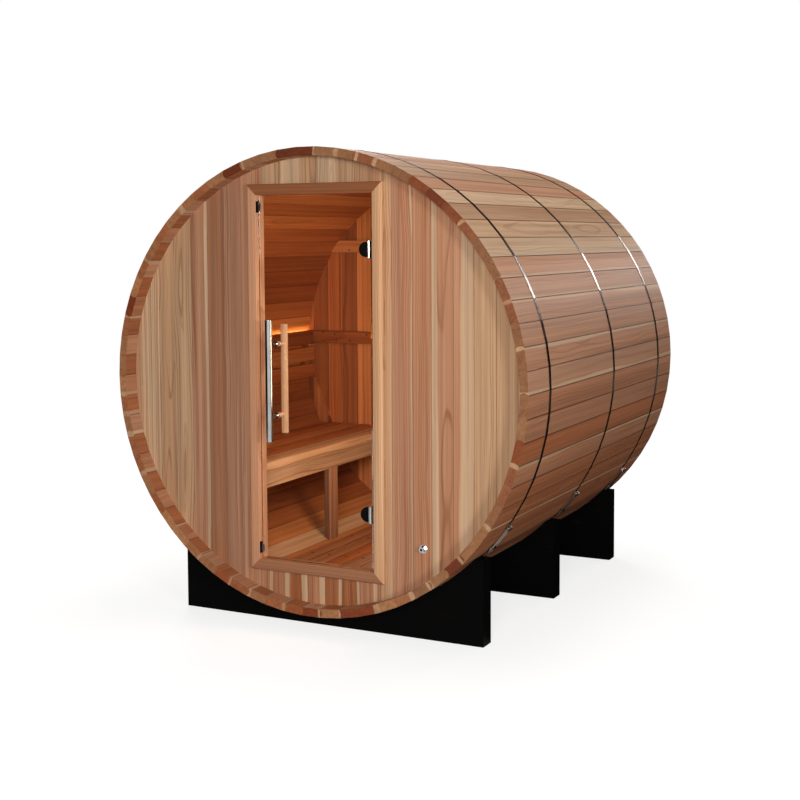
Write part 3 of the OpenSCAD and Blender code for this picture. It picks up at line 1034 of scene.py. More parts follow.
@dataclass
class Staves:
    """Bead-and-cove staves of the barrel in eight runs, numbered upwards from the right."""

    gap: float = 0.0004
    ease: float = 0.0016
    arc: int = 9
    bead_share: float = 0.64
    bead_corner: Point = (0.8, 0.6)
    cove_corner: Point = (0.9, 0.7)
    foot_play: float = 0.0003
    croze_play: float = 0.0002
    sap_share: float = 0.6
    sap_width: Point = (0.004, 0.012)
    sap_strength: Point = (0.5, 0.85)
    joint_lap: float = 0.001
    lit_staves: tuple[int, int] = (-11, 20)
    lit_end_painted_shade: float = 0.8
    other_end_painted_light: float = 1.15
    runs: dict[str, tuple[int, int]] = field(default_factory=lambda: {
        "staves_top": (12, 20), "staves_upper_right": (4, 11), "staves_right": (-4, 3),
        "staves_lower_right": (-12, -5), "staves_bottom": (-21, -13), "staves_lower_left": (37, 44),
        "staves_left": (29, 36), "staves_upper_left": (21, 28)})
    # Staves -11 to -1, low on the lamps' side, take dark tones, a painted shade where the barrel turns down
    # from the light; staves 6 to 9, high on that side, take pale tones that are partly a painted sheen. The
    # rest of the variety is the wood's own.
    tones: dict[int, Tone] = field(default_factory=lambda: numbered(
        -11, (UMBER, 1), (RUSSET, 1), (UMBER, 1), (RUSSET, 4), (BROWN, 1), (RUSSET, 1), (BROWN, 2), (ROSE, 6),
        (CREAM, 1), (STRAW, 1), (TAN, 1), (CREAM, 1), (ROSE, 1), (TAN, 2)))
    linings: dict[int, Tone] = field(default_factory=lambda: numbered(
        21, (COPPER, 1), (AMBER, 1), (COPPER, 1), (AMBER, 1), (COPPER, 2), (CHESTNUT, 3), (COPPER, 1))
        | numbered(34, (COPPER, 1), (CHESTNUT, 3), (COPPER, 3), (CHESTNUT, 1), (COPPER, 1), (AMBER, 1),
                   (HONEY, 1)))

    def outline(self) -> list[Point]:
        """Section of one stave: across it and out from the axis, bead on the low side.

        Both outer corners are set back, by shares of the easing across and down.

        Returns:
            Points in order round the section.
        """
        half, low, high = SHELL.face / 2, SHELL.inner, SHELL.outer
        middle = (low + high) / 2
        bead = self.bead_share * SHELL.thick
        bead_at = half - math.sqrt(bead ** 2 - SHELL.thick ** 2 / 4)
        swing = math.asin((SHELL.thick / 2 - self.bead_corner[1] * self.ease) / bead)
        points = [(-bead_at - bead * math.cos(a), middle + bead * math.sin(a))
                  for a in (swing * (2 * k / self.arc - 1) for k in range(self.arc + 1))]
        points = [(-half + self.foot_play, low)] + points
        points.append((-half + self.bead_corner[0] * self.ease, high))
        c, s = math.cos(-SHELL.pitch), math.sin(-SHELL.pitch)
        cove = (c * -bead_at - s * middle, s * -bead_at + c * middle)
        radius = bead + self.gap
        points.append((half - self.cove_corner[0] * self.ease, high))
        brow = high - self.cove_corner[1] * self.ease
        for k in range(self.arc + 1):
            v = brow - (brow - low) * k / self.arc
            points.append((cove[0] - math.sqrt(radius ** 2 - (v - cove[1]) ** 2), v))
        return points

    def rings(self, number: int) -> list[list[Vector]]:
        """Outlines of one stave along its length, stepped at the wall grooves.

        Args:
            number: Its place round the barrel.

        Returns:
            The outlines from the front rim to the rear rim.
        """
        angle = (number + 0.5) * SHELL.pitch
        c, s = math.cos(angle), math.sin(angle)
        plain = self.outline()
        groove = SHELL.disc + SHELL.play
        cut = [(u, max(v, math.sqrt(groove ** 2 - u * u))) for u, v in plain]
        stations = [(-SHELL.half_length, plain)]
        for front, back in ((SHELL.wall_front, SHELL.wall_back), (SHELL.rear_front, SHELL.rear_back)):
            low, high = front - self.croze_play, back + self.croze_play
            stations += [(low, plain), (low, cut), (high, cut), (high, plain)]
        stations.append((SHELL.half_length, plain))
        return [[Vector((v * c + u * s, y, SHELL.axis + v * s - u * c)) for u, v in section]
                for y, section in stations]

    def wood(self, number: int, rng: random.Random) -> Board:
        """Picks the wood of one stave.

        Args:
            number: Its place round the barrel.
            rng: The seeded source of chance.

        Returns:
            How it lies and what its wood is like.
        """
        angle = (number + 0.5) * SHELL.pitch
        out = Vector((math.cos(angle), 0.0, math.sin(angle)))
        half = SHELL.face / 2
        tone = self.tones.get(number) or rng.choice((ROSE, BROWN, MAUVE, TAN, ROSE, HONEY))
        sap = Sap()
        if rng.random() < self.sap_share:
            width = rng.uniform(*self.sap_width)
            sap = Sap(rng.choice((-1, 1)) * (half - width * 0.5), width, rng.uniform(*self.sap_strength))
        lining = self.linings.get(number) or rng.choice((COPPER, AMBER, COPPER, RUSSET))
        cut = rng.choice((FLAT, RIFT, QUARTER, RIFT))
        sawn, end = rng.choice(((CHESTNUT, 0.75), (RUSSET, 0.9), (BROWN, 0.85),
                                (TAN, 0.8), (STRAW, 0.85)))
        # Sawn ends of the staves in lit_staves are painted darker and the others painted lighter: painted
        # shade on the lit side of the rim and painted light on the rest.
        first, last = self.lit_staves
        end *= self.lit_end_painted_shade if first <= number <= last else self.other_end_painted_light
        return Board(Vector((0, 0, SHELL.axis)) + out * (SHELL.inner + SHELL.outer) / 2, ALONG_Y,
                     ALONG_Y.cross(out), half + self.joint_lap, tone, cut, sap, out=out,
                     room=(SHELL.wall_back, SHELL.rear_front), lining=lining,
                     porch=(RUSSET, BROWN, RUSSET, ROSE)[number % 4], sawn=sawn, end=end)

    def build(self) -> None:
        """Builds the eight runs."""
        for seed, (node, (first, last)) in enumerate(self.runs.items(), 100):
            pile = Timber(node + "_boards", seed)
            for number in range(first, last + 1):
                pile.add(loft(self.rings(number)), self.wood(number, pile.rng))
            pile.make(STAVE_WOOD, node)


@dataclass(frozen=True)
class Wood:
    """The wood of one upright board of an end wall."""

    tone: Tone
    cut: Cut = RIFT
    sap_left: float = 0.0
    sap_right: float = 0.0
    shade: float = 1.0
    lining: Optional[Tone] = None


@dataclass(frozen=True)
class Strip:
    """One upright board of an end wall."""

    left: float
    right: float
    wood: Wood
    strength: float = 0.85

    @property
    def half(self) -> float:
        """Half its width."""
        return (self.right - self.left) / 2

    @property
    def sap(self) -> Sap:
        """Its streak of sapwood.

        Returns:
            The streak along its right or left edge.
        """
        left, right = self.wood.sap_left / 2, self.wood.sap_right / 2
        if right > 0.0:
            return Sap(self.half - right, right, self.strength)
        return Sap(left - self.half, left, self.strength if left > 0.0 else 0.0)


def side_by_side(joints: Sequence[float], woods: Iterable[Wood]) -> tuple[Strip, ...]:
    """Boards from joint to joint."""
    return tuple(Strip(left, right, wood) for left, right, wood in zip(joints, joints[1:], woods))


@dataclass(frozen=True)
class Region:
    """The share of an end wall that one node of the frame makes."""

    node: str
    left: float = -1.0
    right: float = 1.0
    low: float = -1.0
    high: float = 3.0
    strips: tuple[Strip, ...] = ()


@dataclass
class EndWall:
    """Upright tongued boards cut to a disc and let into the staves.

    Attributes:
        front: Station of the face towards the door.
        back: Station of the face towards the back.
        strips: Its boards from left to right.
        regions: The pieces that it is split into.
        finish: Its finish.
        seed: Start of its chance.
        joint: Width of the bevel along each joint.
        steps: Steps along a board's rounded end.
        rim: Reach of the boards, as a share of the disc.
        narrow: Least width of a board.
        short: Least height of a board.
    """

    front: float
    back: float
    strips: tuple[Strip, ...]
    regions: tuple[Region, ...]
    finish: CedarFinish
    seed: int
    joint: float = 0.0022
    steps: int = 6
    rim: float = 0.9965
    narrow: float = 0.004
    short: float = 0.002

    def plank(self, strip: Strip, region: Region) -> Optional[Solid]:
        """Cuts one board to the disc and to its region.

        Args:
            strip: The board.
            region: Where it may stand.

        Returns:
            Its points and faces, or nothing where it misses the region.
        """
        limit = self.rim * SHELL.disc
        left, right = max(strip.left, region.left, -limit), min(strip.right, region.right, limit)
        if right - left < self.narrow:
            return None
        inside = right - left - 2 * self.joint
        stops = [(left, self.joint if left == strip.left else 0.0)]
        stops += [(left + self.joint + inside * k / self.steps, 0.0) for k in range(self.steps + 1)]
        stops += [(right, self.joint if right == strip.right else 0.0)]
        rings = []
        for x, dip in stops:
            reach = math.sqrt(SHELL.disc ** 2 - x * x)
            low, high = max(region.low, SHELL.axis - reach), min(region.high, SHELL.axis + reach)
            if high - low < self.short:
                return None
            front, back = self.front + dip, self.back - dip
            corners = ((front, low), (front, high), (back, high), (back, low))
            rings.append([Vector((x, y, z)) for y, z in corners])
        return loft(rings)

    def build(self) -> None:
        """Builds the wall."""
        rng = random.Random(self.seed)
        logs = [strip.wood.cut.place_in_log(rng) for strip in self.strips]
        depth = (self.front + self.back) / 2
        for region in self.regions:
            pile = Timber(region.node + "_boards", self.seed)
            own = [strip.wood.cut.place_in_log(rng) for strip in region.strips]
            for strip, log in zip(region.strips or self.strips, own or logs):
                solid = self.plank(strip, region)
                if solid:
                    wood = strip.wood
                    middle = Vector(((strip.left + strip.right) / 2, depth, SHELL.axis))
                    pile.add(solid, Board(middle, ALONG_Z, ALONG_X, strip.half, wood.tone, wood.cut,
                                          strip.sap, wood.shade, log=log, out=ALONG_Y,
                                          room=(-SHELL.disc, SHELL.disc), lining=wood.lining))
            pile.make(self.finish, region.node)


def front_wall() -> EndWall:
    """Sets out the front wall, with its boards in the order in which they stand.

    Returns:
        The wall.
    """
    joints = (-0.875, -0.834, -0.745, -0.669, -0.584, -0.502, -0.423, -0.344, -0.244, -0.165, -0.072, 0.010,
              0.090, 0.172, 0.249, 0.325, 0.412, 0.489, 0.578, 0.661, 0.749, 0.834, 0.875)
    woods = (
        Wood(STRAW), Wood(CREAM, QUARTER, shade=1.08), Wood(STRAW, FLAT), Wood(STRAW, FLAT, shade=0.98),
        Wood(ROSE, sap_right=0.014, shade=0.92), Wood(BROWN, QUARTER, shade=0.88),
        Wood(MAUVE, QUARTER, shade=0.92), Wood(ROSE, QUARTER, sap_right=0.020), Wood(TAN, sap_right=0.014),
        Wood(TAN, FLAT, sap_right=0.030), Wood(TAN, FLAT, sap_right=0.020), Wood(TAN, sap_right=0.020),
        Wood(TAN, QUARTER, sap_right=0.020), Wood(RUSSET, sap_right=0.006),
        Wood(STRAW, QUARTER, sap_right=0.005, shade=1.1), Wood(MAUVE, QUARTER, sap_right=0.008, shade=1.08),
        Wood(ROSE, QUARTER, shade=1.03), Wood(ROSE, FLAT, sap_left=0.026, shade=0.94),
        Wood(ROSE, QUARTER, sap_right=0.052, shade=1.06), Wood(STRAW, QUARTER, shade=1.1),
        Wood(STRAW, shade=1.02), Wood(CREAM))
    above = ((ROSE, QUARTER), (STRAW, RIFT), (CREAM, FLAT), (STRAW, FLAT), (CREAM, FLAT), (STRAW, QUARTER),
             (TAN, RIFT), (ROSE, QUARTER))
    below = ((ROSE, 0.012), (BROWN, 0.022), (RUSSET, 0.030), (BROWN, 0.026), (RUSSET, 0.014), (RUSSET, 0.012),
             (BROWN, 0.016), (BROWN, 0.0))
    # The boards over the door are painted darker, shade 0.94, as painted shade where the wall over the door
    # is lit less.
    upper = side_by_side(joints[7:16], [Wood(tone, cut, shade=0.94) for tone, cut in above])
    first, width = -0.285, 0.078
    lower = side_by_side([first + width * k for k in range(len(below) + 1)],
                         [Wood(tone, QUARTER, sap_right=pale) for tone, pale in below])
    over, under = lowest("front_wall_over_door"), highest("front_wall_under_door")
    regions = (Region("front_wall_left", right=-under.x), Region("front_wall_right", left=under.x),
               Region("front_wall_over_door", -under.x, under.x, low=over.z, strips=upper),
               Region("front_wall_under_door", -under.x, under.x, high=under.z, strips=lower))
    return EndWall(SHELL.wall_front, SHELL.wall_back, side_by_side(joints, woods), regions, WALL_WOOD, 21)


def rear_wall() -> EndWall:
    """Sets out the rear wall, with boards of one width and mixed tones.

    Returns:
        The wall.
    """
    rng = random.Random(5)
    edge, first, width, whole = 0.875, -0.831, 0.0825, 20
    joints = [-edge] + [first + width * k for k in range(whole + 1)] + [edge]
    linings = (COPPER, CHESTNUT, COPPER, CHESTNUT, AMBER, COPPER)
    tones = (ROSE, STRAW, BROWN, TAN, HONEY, MAUVE, TAN)
    woods = [Wood(tones[k % len(tones)], rng.choice((FLAT, FLAT, RIFT)),
                  sap_right=rng.choice((0.0, 0.0, 0.0, 0.012)), lining=linings[k % len(linings)])
             for k in range(len(joints) - 1)]
    return EndWall(SHELL.rear_front, SHELL.rear_back, side_by_side(joints, woods), (Region("rear_wall"),),
                   INSIDE_WOOD, 33)


@dataclass
class DoorFrame:
    """Mitred casing and lining round the doorway."""

    half: float = lowest("door_jamb_right").x
    sill: float = highest("door_sill").z
    head: float = lowest("door_head").z
    face: float = lowest("door_head").y
    core: float = -0.84
    casing: float = 0.042
    lining: float = 0.020

    @property
    def profile(self) -> list[Point]:
        """Section of a member.

        Returns:
            Distance out from the doorway and station along Y of each point, in order.
        """
        bevel = ((0.0, 0.002), (0.002, 0.0), (0.033, 0.0), (0.037, 0.0008), (0.040, 0.003),
                 (self.casing, 0.006))
        front, back = SHELL.wall_front, SHELL.wall_back
        shown = [(p, self.face + dip) for p, dip in bevel]
        return shown + [(self.casing, front), (self.lining, front), (self.lining, back), (0.0, back)]

    def jamb(self, side: int) -> Solid:
        """An upright member, on the left for -1 and on the right for 1."""
        low = [Vector((side * (self.half + p), y, self.sill - p)) for p, y in self.profile]
        return loft([low, [Vector((side * (self.half + p), y, self.head + p)) for p, y in self.profile]])

    def rail(self, side: int) -> Solid:
        """A level member over the door for 1, or under it for -1."""
        height = self.head if side > 0 else self.sill
        return loft([[Vector((end * (self.half + p), y, height + side * p)) for p, y in self.profile]
                     for end in (-1, 1)])

    def build(self) -> None:
        """Builds the four members."""
        mid, tall = self.casing / 2, (self.sill + self.head) / 2
        upright, level = (ALONG_Z, ALONG_X), (ALONG_X, ALONG_Z)
        members = (
            ("door_jamb_left", self.jamb(-1), (-self.half - mid, tall), upright, ROSE, 1.22),
            ("door_jamb_right", self.jamb(1), (self.half + mid, tall), upright, STRAW, 1.17),
            ("door_head", self.rail(1), (0.0, self.head + mid), level, RUSSET, 0.8),
            ("door_sill", self.rail(-1), (0.0, self.sill - mid), level, BROWN, 0.88))
        for seed, (node, solid, (x, z), lie, tone, shade) in enumerate(members, 50):
            board = Board(Vector((x, self.core, z)), *lie, mid, tone, QUARTER, shade=shade)
            Timber.piled(node + "_board", seed, TRIM_WOOD, node, [(solid, board)])


@dataclass
class WoodenHandle:
    """Turned bar on the inside of the glass, on two tapered stand-offs."""

    glass: float = highest("door_glass").y
    reach: float = 0.054
    radius: float = 0.014
    pitch: float = 0.280
    sides: int = 40

    def build(self) -> None:
        """Builds the bar and its stand-offs as one piece."""
        low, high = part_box("door_handle_inside")
        x, length, r = (low.x + high.x) / 2, high.z - low.z, self.radius
        middle = (low.z + high.z) / 2
        foot = Vector((x, self.glass + self.reach, low.z))
        round_end = ((0.0, 0.0015), (0.0006, 0.0005), (0.0015, 0.0))
        bar = [(d, r - dip) for d, dip in round_end]
        bar += [(length - d, r - dip) for d, dip in reversed(round_end)]
        taper = ((0.0, 0.0095), (0.0012, 0.0105), (0.010, 0.0100), (0.042, 0.0078),
                 (self.reach - 0.004, 0.0075))
        boards = [(loft(turned(bar, foot, ALONG_Z, self.sides)),
                   Board(foot, ALONG_Z, ALONG_X, 1.0, HONEY, QUARTER))]
        for z in (middle - self.pitch / 2, middle + self.pitch / 2):
            base = Vector((x, self.glass, z))
            boards.append((loft(turned(taper, base, ALONG_Y, self.sides)),
                           Board(base, ALONG_Y, ALONG_X, 1.0, HONEY, QUARTER)))
        Timber.piled("door_handle_inside_bar", 61, TRIM_WOOD, "door_handle_inside", boards, Body.DOOR)


@dataclass
class Bench:
    """Seat boards with a round nosing, the fascia under it and its leg."""

    seat: float = highest("bench_seat").z
    front: float = highest("bench_seat").x
    thick: float = 0.027
    slit: float = 0.003
    seat_ease: float = 0.0022
    tones: tuple[Tone, ...] = (COPPER, AMBER, COPPER)
    nose_width: float = 0.106
    nose_radius: float = 0.032
    nose_thick: float = 0.040
    nose_half: float = 0.06
    nose_ease: float = 0.0015
    arc: int = 10
    ease: float = 0.002
    leg_middle: float = 0.35

    def nosing(self) -> list[Point]:
        """Section of the front board.

        Returns:
            Points in order round the section.
        """
        r, foot, back = self.nose_radius, self.seat - self.nose_thick, self.front - self.nose_width
        turn = [math.pi / 2 * k / self.arc for k in range(self.arc + 1)]
        arc = [(self.front - r + r * math.cos(a), self.seat - r + r * math.sin(a)) for a in turn]
        return [(back, foot), (self.front, foot)] + arc + [(back, self.seat)]

    def seat_boards(self) -> list[tuple[Solid, Board]]:
        """Sets out the seat.

        Returns:
            Its boards, with the nosing last.
        """
        y0, y1 = SHELL.wall_back, SHELL.rear_front
        back = -SHELL.reach(self.seat - self.thick)
        width = (self.front - self.nose_width - back) / len(self.tones) - self.slit
        boards = []
        for k, tone in enumerate(self.tones):
            left = back + k * (width + self.slit)
            middle = Vector((left + width / 2, 0, self.seat))
            boards.append((block((left, y0, self.seat - self.thick), (left + width, y1, self.seat)),
                           Board(middle, ALONG_Y, ALONG_X, width / 2, tone, FLAT, ease=self.seat_ease)))
        middle = Vector((self.front - self.nose_width / 2, 0, self.seat - self.nose_thick / 2))
        boards.append((slab(self.nosing(), y0, y1),
                       Board(middle, ALONG_Y, ALONG_X, self.nose_half, HONEY, ease=self.nose_ease)))
        return boards

    def build(self) -> None:
        """Builds the seat, the fascia and the leg."""
        low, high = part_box("bench_fascia")
        tall = (high.z - low.z) / 2
        fascia = Board(Vector((high.x, 0, low.z + tall)), ALONG_Y, ALONG_Z, tall, HONEY, ease=self.ease)
        y0, y1 = lowest("bench_leg").y, highest("bench_leg").y
        feet = [(x, SHELL.ground(x)) for x in (low.x, (low.x + high.x) / 2, high.x)]
        leg = Board(Vector((high.x, (y0 + y1) / 2, self.leg_middle)), ALONG_Z, ALONG_Y, (y1 - y0) / 2,
                    BROWN, ease=self.ease)
        upright = slab(feet + [(high.x, low.z), (low.x, low.z)], y0, y1)
        Timber.piled("bench_seat_boards", 71, INSIDE_WOOD, "bench_seat", self.seat_boards())
        Timber.piled("bench_fascia_board", 72, INSIDE_WOOD, "bench_fascia", [(block(low, high), fascia)])
        Timber.piled("bench_leg_board", 73, INSIDE_WOOD, "bench_leg", [(upright, leg)])


@dataclass
class Backrest:
    """Three slats on cleats over two ribs that follow the staves."""

    tones: tuple[Tone, ...] = (CHESTNUT, AMBER, COPPER)
    height: float = 0.068
    pitch: float = 0.0835
    cleat: float = 0.030
    rib: float = 0.028
    rib_foot: float = 0.054
    rib_top: float = 0.039
    rib_middle: Point = (-0.78, 0.71)
    rib_half: float = 0.04
    rib_ease: float = 0.0015
    slat_ease: float = 0.0025
    cleat_middle: float = 0.93
    steps: int = 10

    def along_staves(self, low: float, high: float) -> list[Point]:
        """Points down the staves between two heights."""
        rise = [low + (high - low) * k / self.steps for k in range(self.steps + 1)]
        return [(-SHELL.reach(z), z) for z in reversed(rise)]

    def build(self) -> None:
        """Builds the slats, the cleats and the ribs."""
        y0, y1, seat = SHELL.wall_back, SHELL.rear_front, highest("bench_seat").z
        low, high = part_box("backrest_slats")
        back, face, foot, top = low.x, high.x, low.z, high.z - self.height / 2
        slats = []
        for k, tone in enumerate(self.tones):
            z = top - k * self.pitch
            slats.append((block((back, y0, z - self.height / 2), (face, y1, z + self.height / 2)),
                          Board(Vector((face, 0, z)), ALONG_Y, ALONG_Z, self.height / 2, tone,
                                ease=self.slat_ease)))
        outline = [(back, foot), (back, top)] + self.along_staves(foot, top)
        cleats = [(slab(outline, y, y + self.cleat),
                   Board(Vector((back, y, self.cleat_middle)), ALONG_Z, ALONG_Y, self.cleat, CHESTNUT))
                  for y in (y0 + 2 * self.cleat, (y0 + y1) / 2, y1 - 3 * self.cleat)]
        outline = [(self.rib_foot - SHELL.reach(seat), seat), (self.rib_top - SHELL.reach(foot), foot)]
        outline += self.along_staves(seat, foot)
        x, z = self.rib_middle
        ribs = [(slab(outline, y, y + self.rib),
                 Board(Vector((x, y + self.rib / 2, z)), ALONG_Z, ALONG_X, self.rib_half, COPPER,
                       ease=self.rib_ease))
                for y in (y0, y1 - self.rib)]
        Timber.piled("backrest_slat_boards", 81, INSIDE_WOOD, "backrest_slats", slats)
        Timber.piled("backrest_cleat_boards", 82, INSIDE_WOOD, "backrest_cleats", cleats)
        Timber.piled("backrest_rib_boards", 83, INSIDE_WOOD, "backrest_ribs", ribs)


def nail_heads(name: str, spots: Sequence[Vector], out: Vector, radius: float) -> None:
    """Low domed heads of nails or screws, each dished in its middle.

    Args:
        name: Name of the piece.
        spots: Where each stands.
        out: Direction that they face.
        radius: Radius of a head, in metres.
    """
    dome = ((-0.0004, radius), (0.0004, radius), (0.0009, 0.75 * radius), (0.0007, 0.35 * radius))
    sides = 14
    shape = bmesh.new()
    for spot in spots:
        rings = [[shape.verts.new(p) for p in ring] for ring in turned(dome, spot, out, sides)]
        for one, two in zip(rings, rings[1:]):
            for k in range(sides):
                shape.faces.new((one[k], one[(k + 1) % sides], two[(k + 1) % sides], two[k]))
        shape.faces.new(rings[-1])
    bmesh.ops.recalc_face_normals(shape, faces=shape.faces)
    mesh = bpy.data.meshes.new(name)
    shape.to_mesh(mesh)
    shape.free()
    set_out(mesh, NAIL_STEEL, Body.BARREL)


@dataclass
class RearBattens:
    """Two nailed battens across the rear wall."""

    tones: tuple[Tone, Tone] = (CHESTNUT, AMBER)
    height: float = 0.060
    ease: float = 0.0018
    steps: int = 6
    nails: tuple[Point, ...] = (
        (-0.692, 0.014), (-0.614, 0.013), (-0.52, 0.045), (-0.44, 0.015), (-0.36, 0.046), (-0.27, 0.014),
        (-0.18, 0.045), (-0.1, 0.015), (-0.01, 0.046), (0.08, 0.014), (0.16, 0.045), (0.25, 0.014),
        (0.33, 0.046), (0.42, 0.014), (0.5, 0.045), (0.58, 0.014), (0.66, 0.045))
    extra: tuple[Point, ...] = ((-0.767, 0.053), (-0.70, 0.044))
    margin: float = 0.02
    nail: float = 0.0042

    def outline(self, foot: float, left: Optional[float]) -> list[Point]:
        """Outline of one batten, cut to the staves at its free ends.

        Args:
            foot: Height of its lower edge.
            left: Where it starts, if not at the staves.

        Returns:
            Points in order round it.
        """
        rise = [foot + self.height * k / self.steps for k in range(self.steps + 1)]
        right = [(SHELL.reach(z), z) for z in rise]
        if left is None:
            return right + [(-SHELL.reach(z), z) for z in reversed(rise)]
        return right + [(left, rise[-1]), (left, rise[0])]

    def build(self) -> None:
        """Builds the battens and their nail heads."""
        low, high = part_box("rear_wall_battens")
        feet = (low.z, high.z - self.height)
        battens = [(slab(self.outline(foot, left), low.y, high.y),
                    Board(Vector((0, low.y, foot + self.height / 2)), ALONG_X, ALONG_Z, self.height / 2, tone,
                          FLAT, ease=self.ease))
                   for foot, left, tone in zip(feet, (low.x, None), self.tones)]
        spots = [Vector((x, low.y, foot + up)) for foot in feet for x, up in self.nails
                 if abs(x) < SHELL.reach(foot + self.height) - self.margin]
        spots += [Vector((x, low.y, low.z + up)) for x, up in self.extra]
        Timber.piled("rear_wall_batten_boards", 91, INSIDE_WOOD, "rear_wall_battens", battens)
        nail_heads("batten_nails", spots, -ALONG_Y, self.nail)


@dataclass
class Floor:
    """Flat floor boards on three bearers."""

    tones: tuple[Tone, ...] = (RUSSET, RUSSET, COPPER, BROWN, TAN, RUSSET, BROWN)
    slit: float = 0.002
    ease: float = 0.0022
    bearer: float = 0.045
    bearer_middle: float = 0.14
    steps: int = 12
    screw: float = 0.0052
    screw_off: float = 0.016
    screw_stations: tuple[float, ...] = (-0.454, -0.110, 0.4295)

    def build(self) -> None:
        """Builds the boards, their screws and the bearers."""
        low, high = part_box("floor_boards")
        width = (high.x - low.x + self.slit) / len(self.tones) - self.slit
        boards, screws = [], []
        for k, tone in enumerate(self.tones):
            left = low.x + k * (width + self.slit)
            middle = left + width / 2
            board = Board(Vector((middle, 0, high.z)), ALONG_Y, ALONG_X, width / 2, tone, ease=self.ease)
            boards.append((block((left, low.y, low.z), (left + width, high.y, high.z)), board))
            screws += [Vector((middle - self.screw_off, y, high.z)) for y in self.screw_stations]
        stops = [low.x + (high.x - low.x) * k / self.steps for k in range(self.steps + 1)]
        outline = [(x, SHELL.ground(x)) for x in stops] + [(high.x, low.z), (low.x, low.z)]
        stations = (low.y + 2 * self.bearer, (low.y + high.y - self.bearer) / 2, high.y - 3 * self.bearer)
        bearers = [(slab(outline, y, y + self.bearer),
                    Board(Vector((0, y, self.bearer_middle)), ALONG_X, ALONG_Y, self.bearer, RUSSET))
                   for y in stations]
        Timber.piled("floor_board_planks", 95, INSIDE_WOOD, "floor_boards", boards)
        nail_heads("floor_screws", screws, ALONG_Z, self.screw)
        Timber.piled("floor_bearer_boards", 96, INSIDE_WOOD, "floor_bearers", bearers)


@dataclass
class Fittings:
    """Nodes of the frame that keep their own shape and take a finish."""

    finishes: tuple[tuple[Finish, tuple[str, ...]], ...] = (
        (CHROME, ("door_handle_outside", "hinge_knuckles", "hinge_leaves", "cable_gland")),
        (STEEL, ("front_band", "middle_band", "rear_band")),
        (ZINC, ("tensioner_bars", "tensioner_bolts", "catch_plates")),
        (BLACK_METAL, ("hinge_clamps", "door_catches")),
        (BLACK_PAINT, ("front_cradle", "middle_cradle", "rear_cradle")),
        (CLEAR_GLASS, ("door_glass",)), (LAMP_COVER, ("light_strip",)))

    def dress(self) -> None:
        """Gives each node its finish."""
        for finish, nodes in self.finishes:
            for node in nodes:
                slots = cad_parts[node].data.materials
                slots.clear()
                slots.append(finish.material())
                LOG.info("%s: dressed in %s", node, finish.name)


@dataclass(frozen=True)
class Viewpoint:
    """The camera at the photograph's angle, for a square frame."""

    place: Place = (2.60963, -5.23466, 1.52655)
    yaw: float = -0.45585
    pitch: float = -0.0733
    roll: float = -0.00349
    focal_pixels: float = 1328.793
    centre_pixels: Point = (423.5, 334.8)
    frame_pixels: float = 800.0
    sensor_mm: float = 36.0
    clip_end: float = 200.0

    def build(self) -> None:
        """Makes the camera the scene's own."""
        level = Vector((math.cos(self.yaw), -math.sin(self.yaw), 0.0))
        forward = Vector((math.sin(self.yaw), math.cos(self.yaw), 0.0))
        ahead = forward * math.cos(self.pitch) + ALONG_Z * math.sin(self.pitch)
        up = level.cross(ahead)
        right = math.cos(self.roll) * level + math.sin(self.roll) * up
        top = math.cos(self.roll) * up - math.sin(self.roll) * level
        lens = bpy.data.cameras.new("photo_camera")
        lens.sensor_width = self.sensor_mm
        lens.lens = self.focal_pixels / self.frame_pixels * self.sensor_mm
        lens.shift_x = (self.frame_pixels / 2 - self.centre_pixels[0]) / self.frame_pixels
        lens.shift_y = (self.centre_pixels[1] - self.frame_pixels / 2) / self.frame_pixels
        lens.clip_end = self.clip_end
        camera = bpy.data.objects.new("photo_camera", lens)
        turn = Matrix((right, top, -ahead)).transposed()
        camera.matrix_world = Matrix.Translation(Vector(self.place)) @ turn.to_4x4()
        bpy.context.scene.collection.objects.link(camera)
        bpy.context.scene.camera = camera


@dataclass(frozen=True)
class Lamp:
    """One soft lamp of the studio."""

    name: str
    place: Place
    target: Place
    size: Point
    power: float
    colour: Colour

    def hang(self) -> None:
        """Hangs the lamp where the camera doesn't see it."""
        light = bpy.data.lights.new(self.name, "AREA")
        light.shape = "RECTANGLE"
        light.size, light.size_y = self.size
        light.energy = self.power
        light.color = self.colour
        lamp = bpy.data.objects.new(self.name, light)
        lamp.location = self.place
        lamp.rotation_euler = (Vector(self.target) - Vector(self.place)).to_track_quat("-Z", "Y").to_euler()
        lamp.visible_camera = False
        bpy.context.scene.collection.objects.link(lamp)


KEY_LIGHT = (1.0, 0.985, 0.96)
FILL_LIGHT = (1.0, 0.99, 0.97)
WARM_LIGHT = (1.0, 0.80, 0.54)
LAMPS = (
    Lamp("front_lamp", (2.6, -6.2, 2.0), (0.2, -0.85, 1.0), (1.3, 1.3), 205.0, KEY_LIGHT),
    Lamp("side_lamp", (5.3, -4.5, 1.7), (0.2, -0.6, 1.0), (1.0, 1.0), 140.0, KEY_LIGHT),
    Lamp("top_lamp", (0.3, 0.2, 5.6), (0.0, 0.0, 1.2), (2.4, 2.4), 100.0, FILL_LIGHT),
    Lamp("back_lamp", (2.1, 5.8, 2.95), (0.8, 0.0, 1.4), (1.4, 0.8), 55.0, FILL_LIGHT),
    Lamp("rear_lamp", (-4.4, 4.8, 3.2), (-0.3, 0.3, 0.9), (3.0, 3.0), 240.0, FILL_LIGHT),
    Lamp("room_lamp", (0.25, -0.35, 1.60), (-0.1, -0.1, 0.6), (0.35, 0.35), 4.2, WARM_LIGHT),
    Lamp("bench_lamp", (0.5, -0.5, 1.0), (-0.75, 0.1, 0.95), (0.4, 0.4), 5.4, WARM_LIGHT))


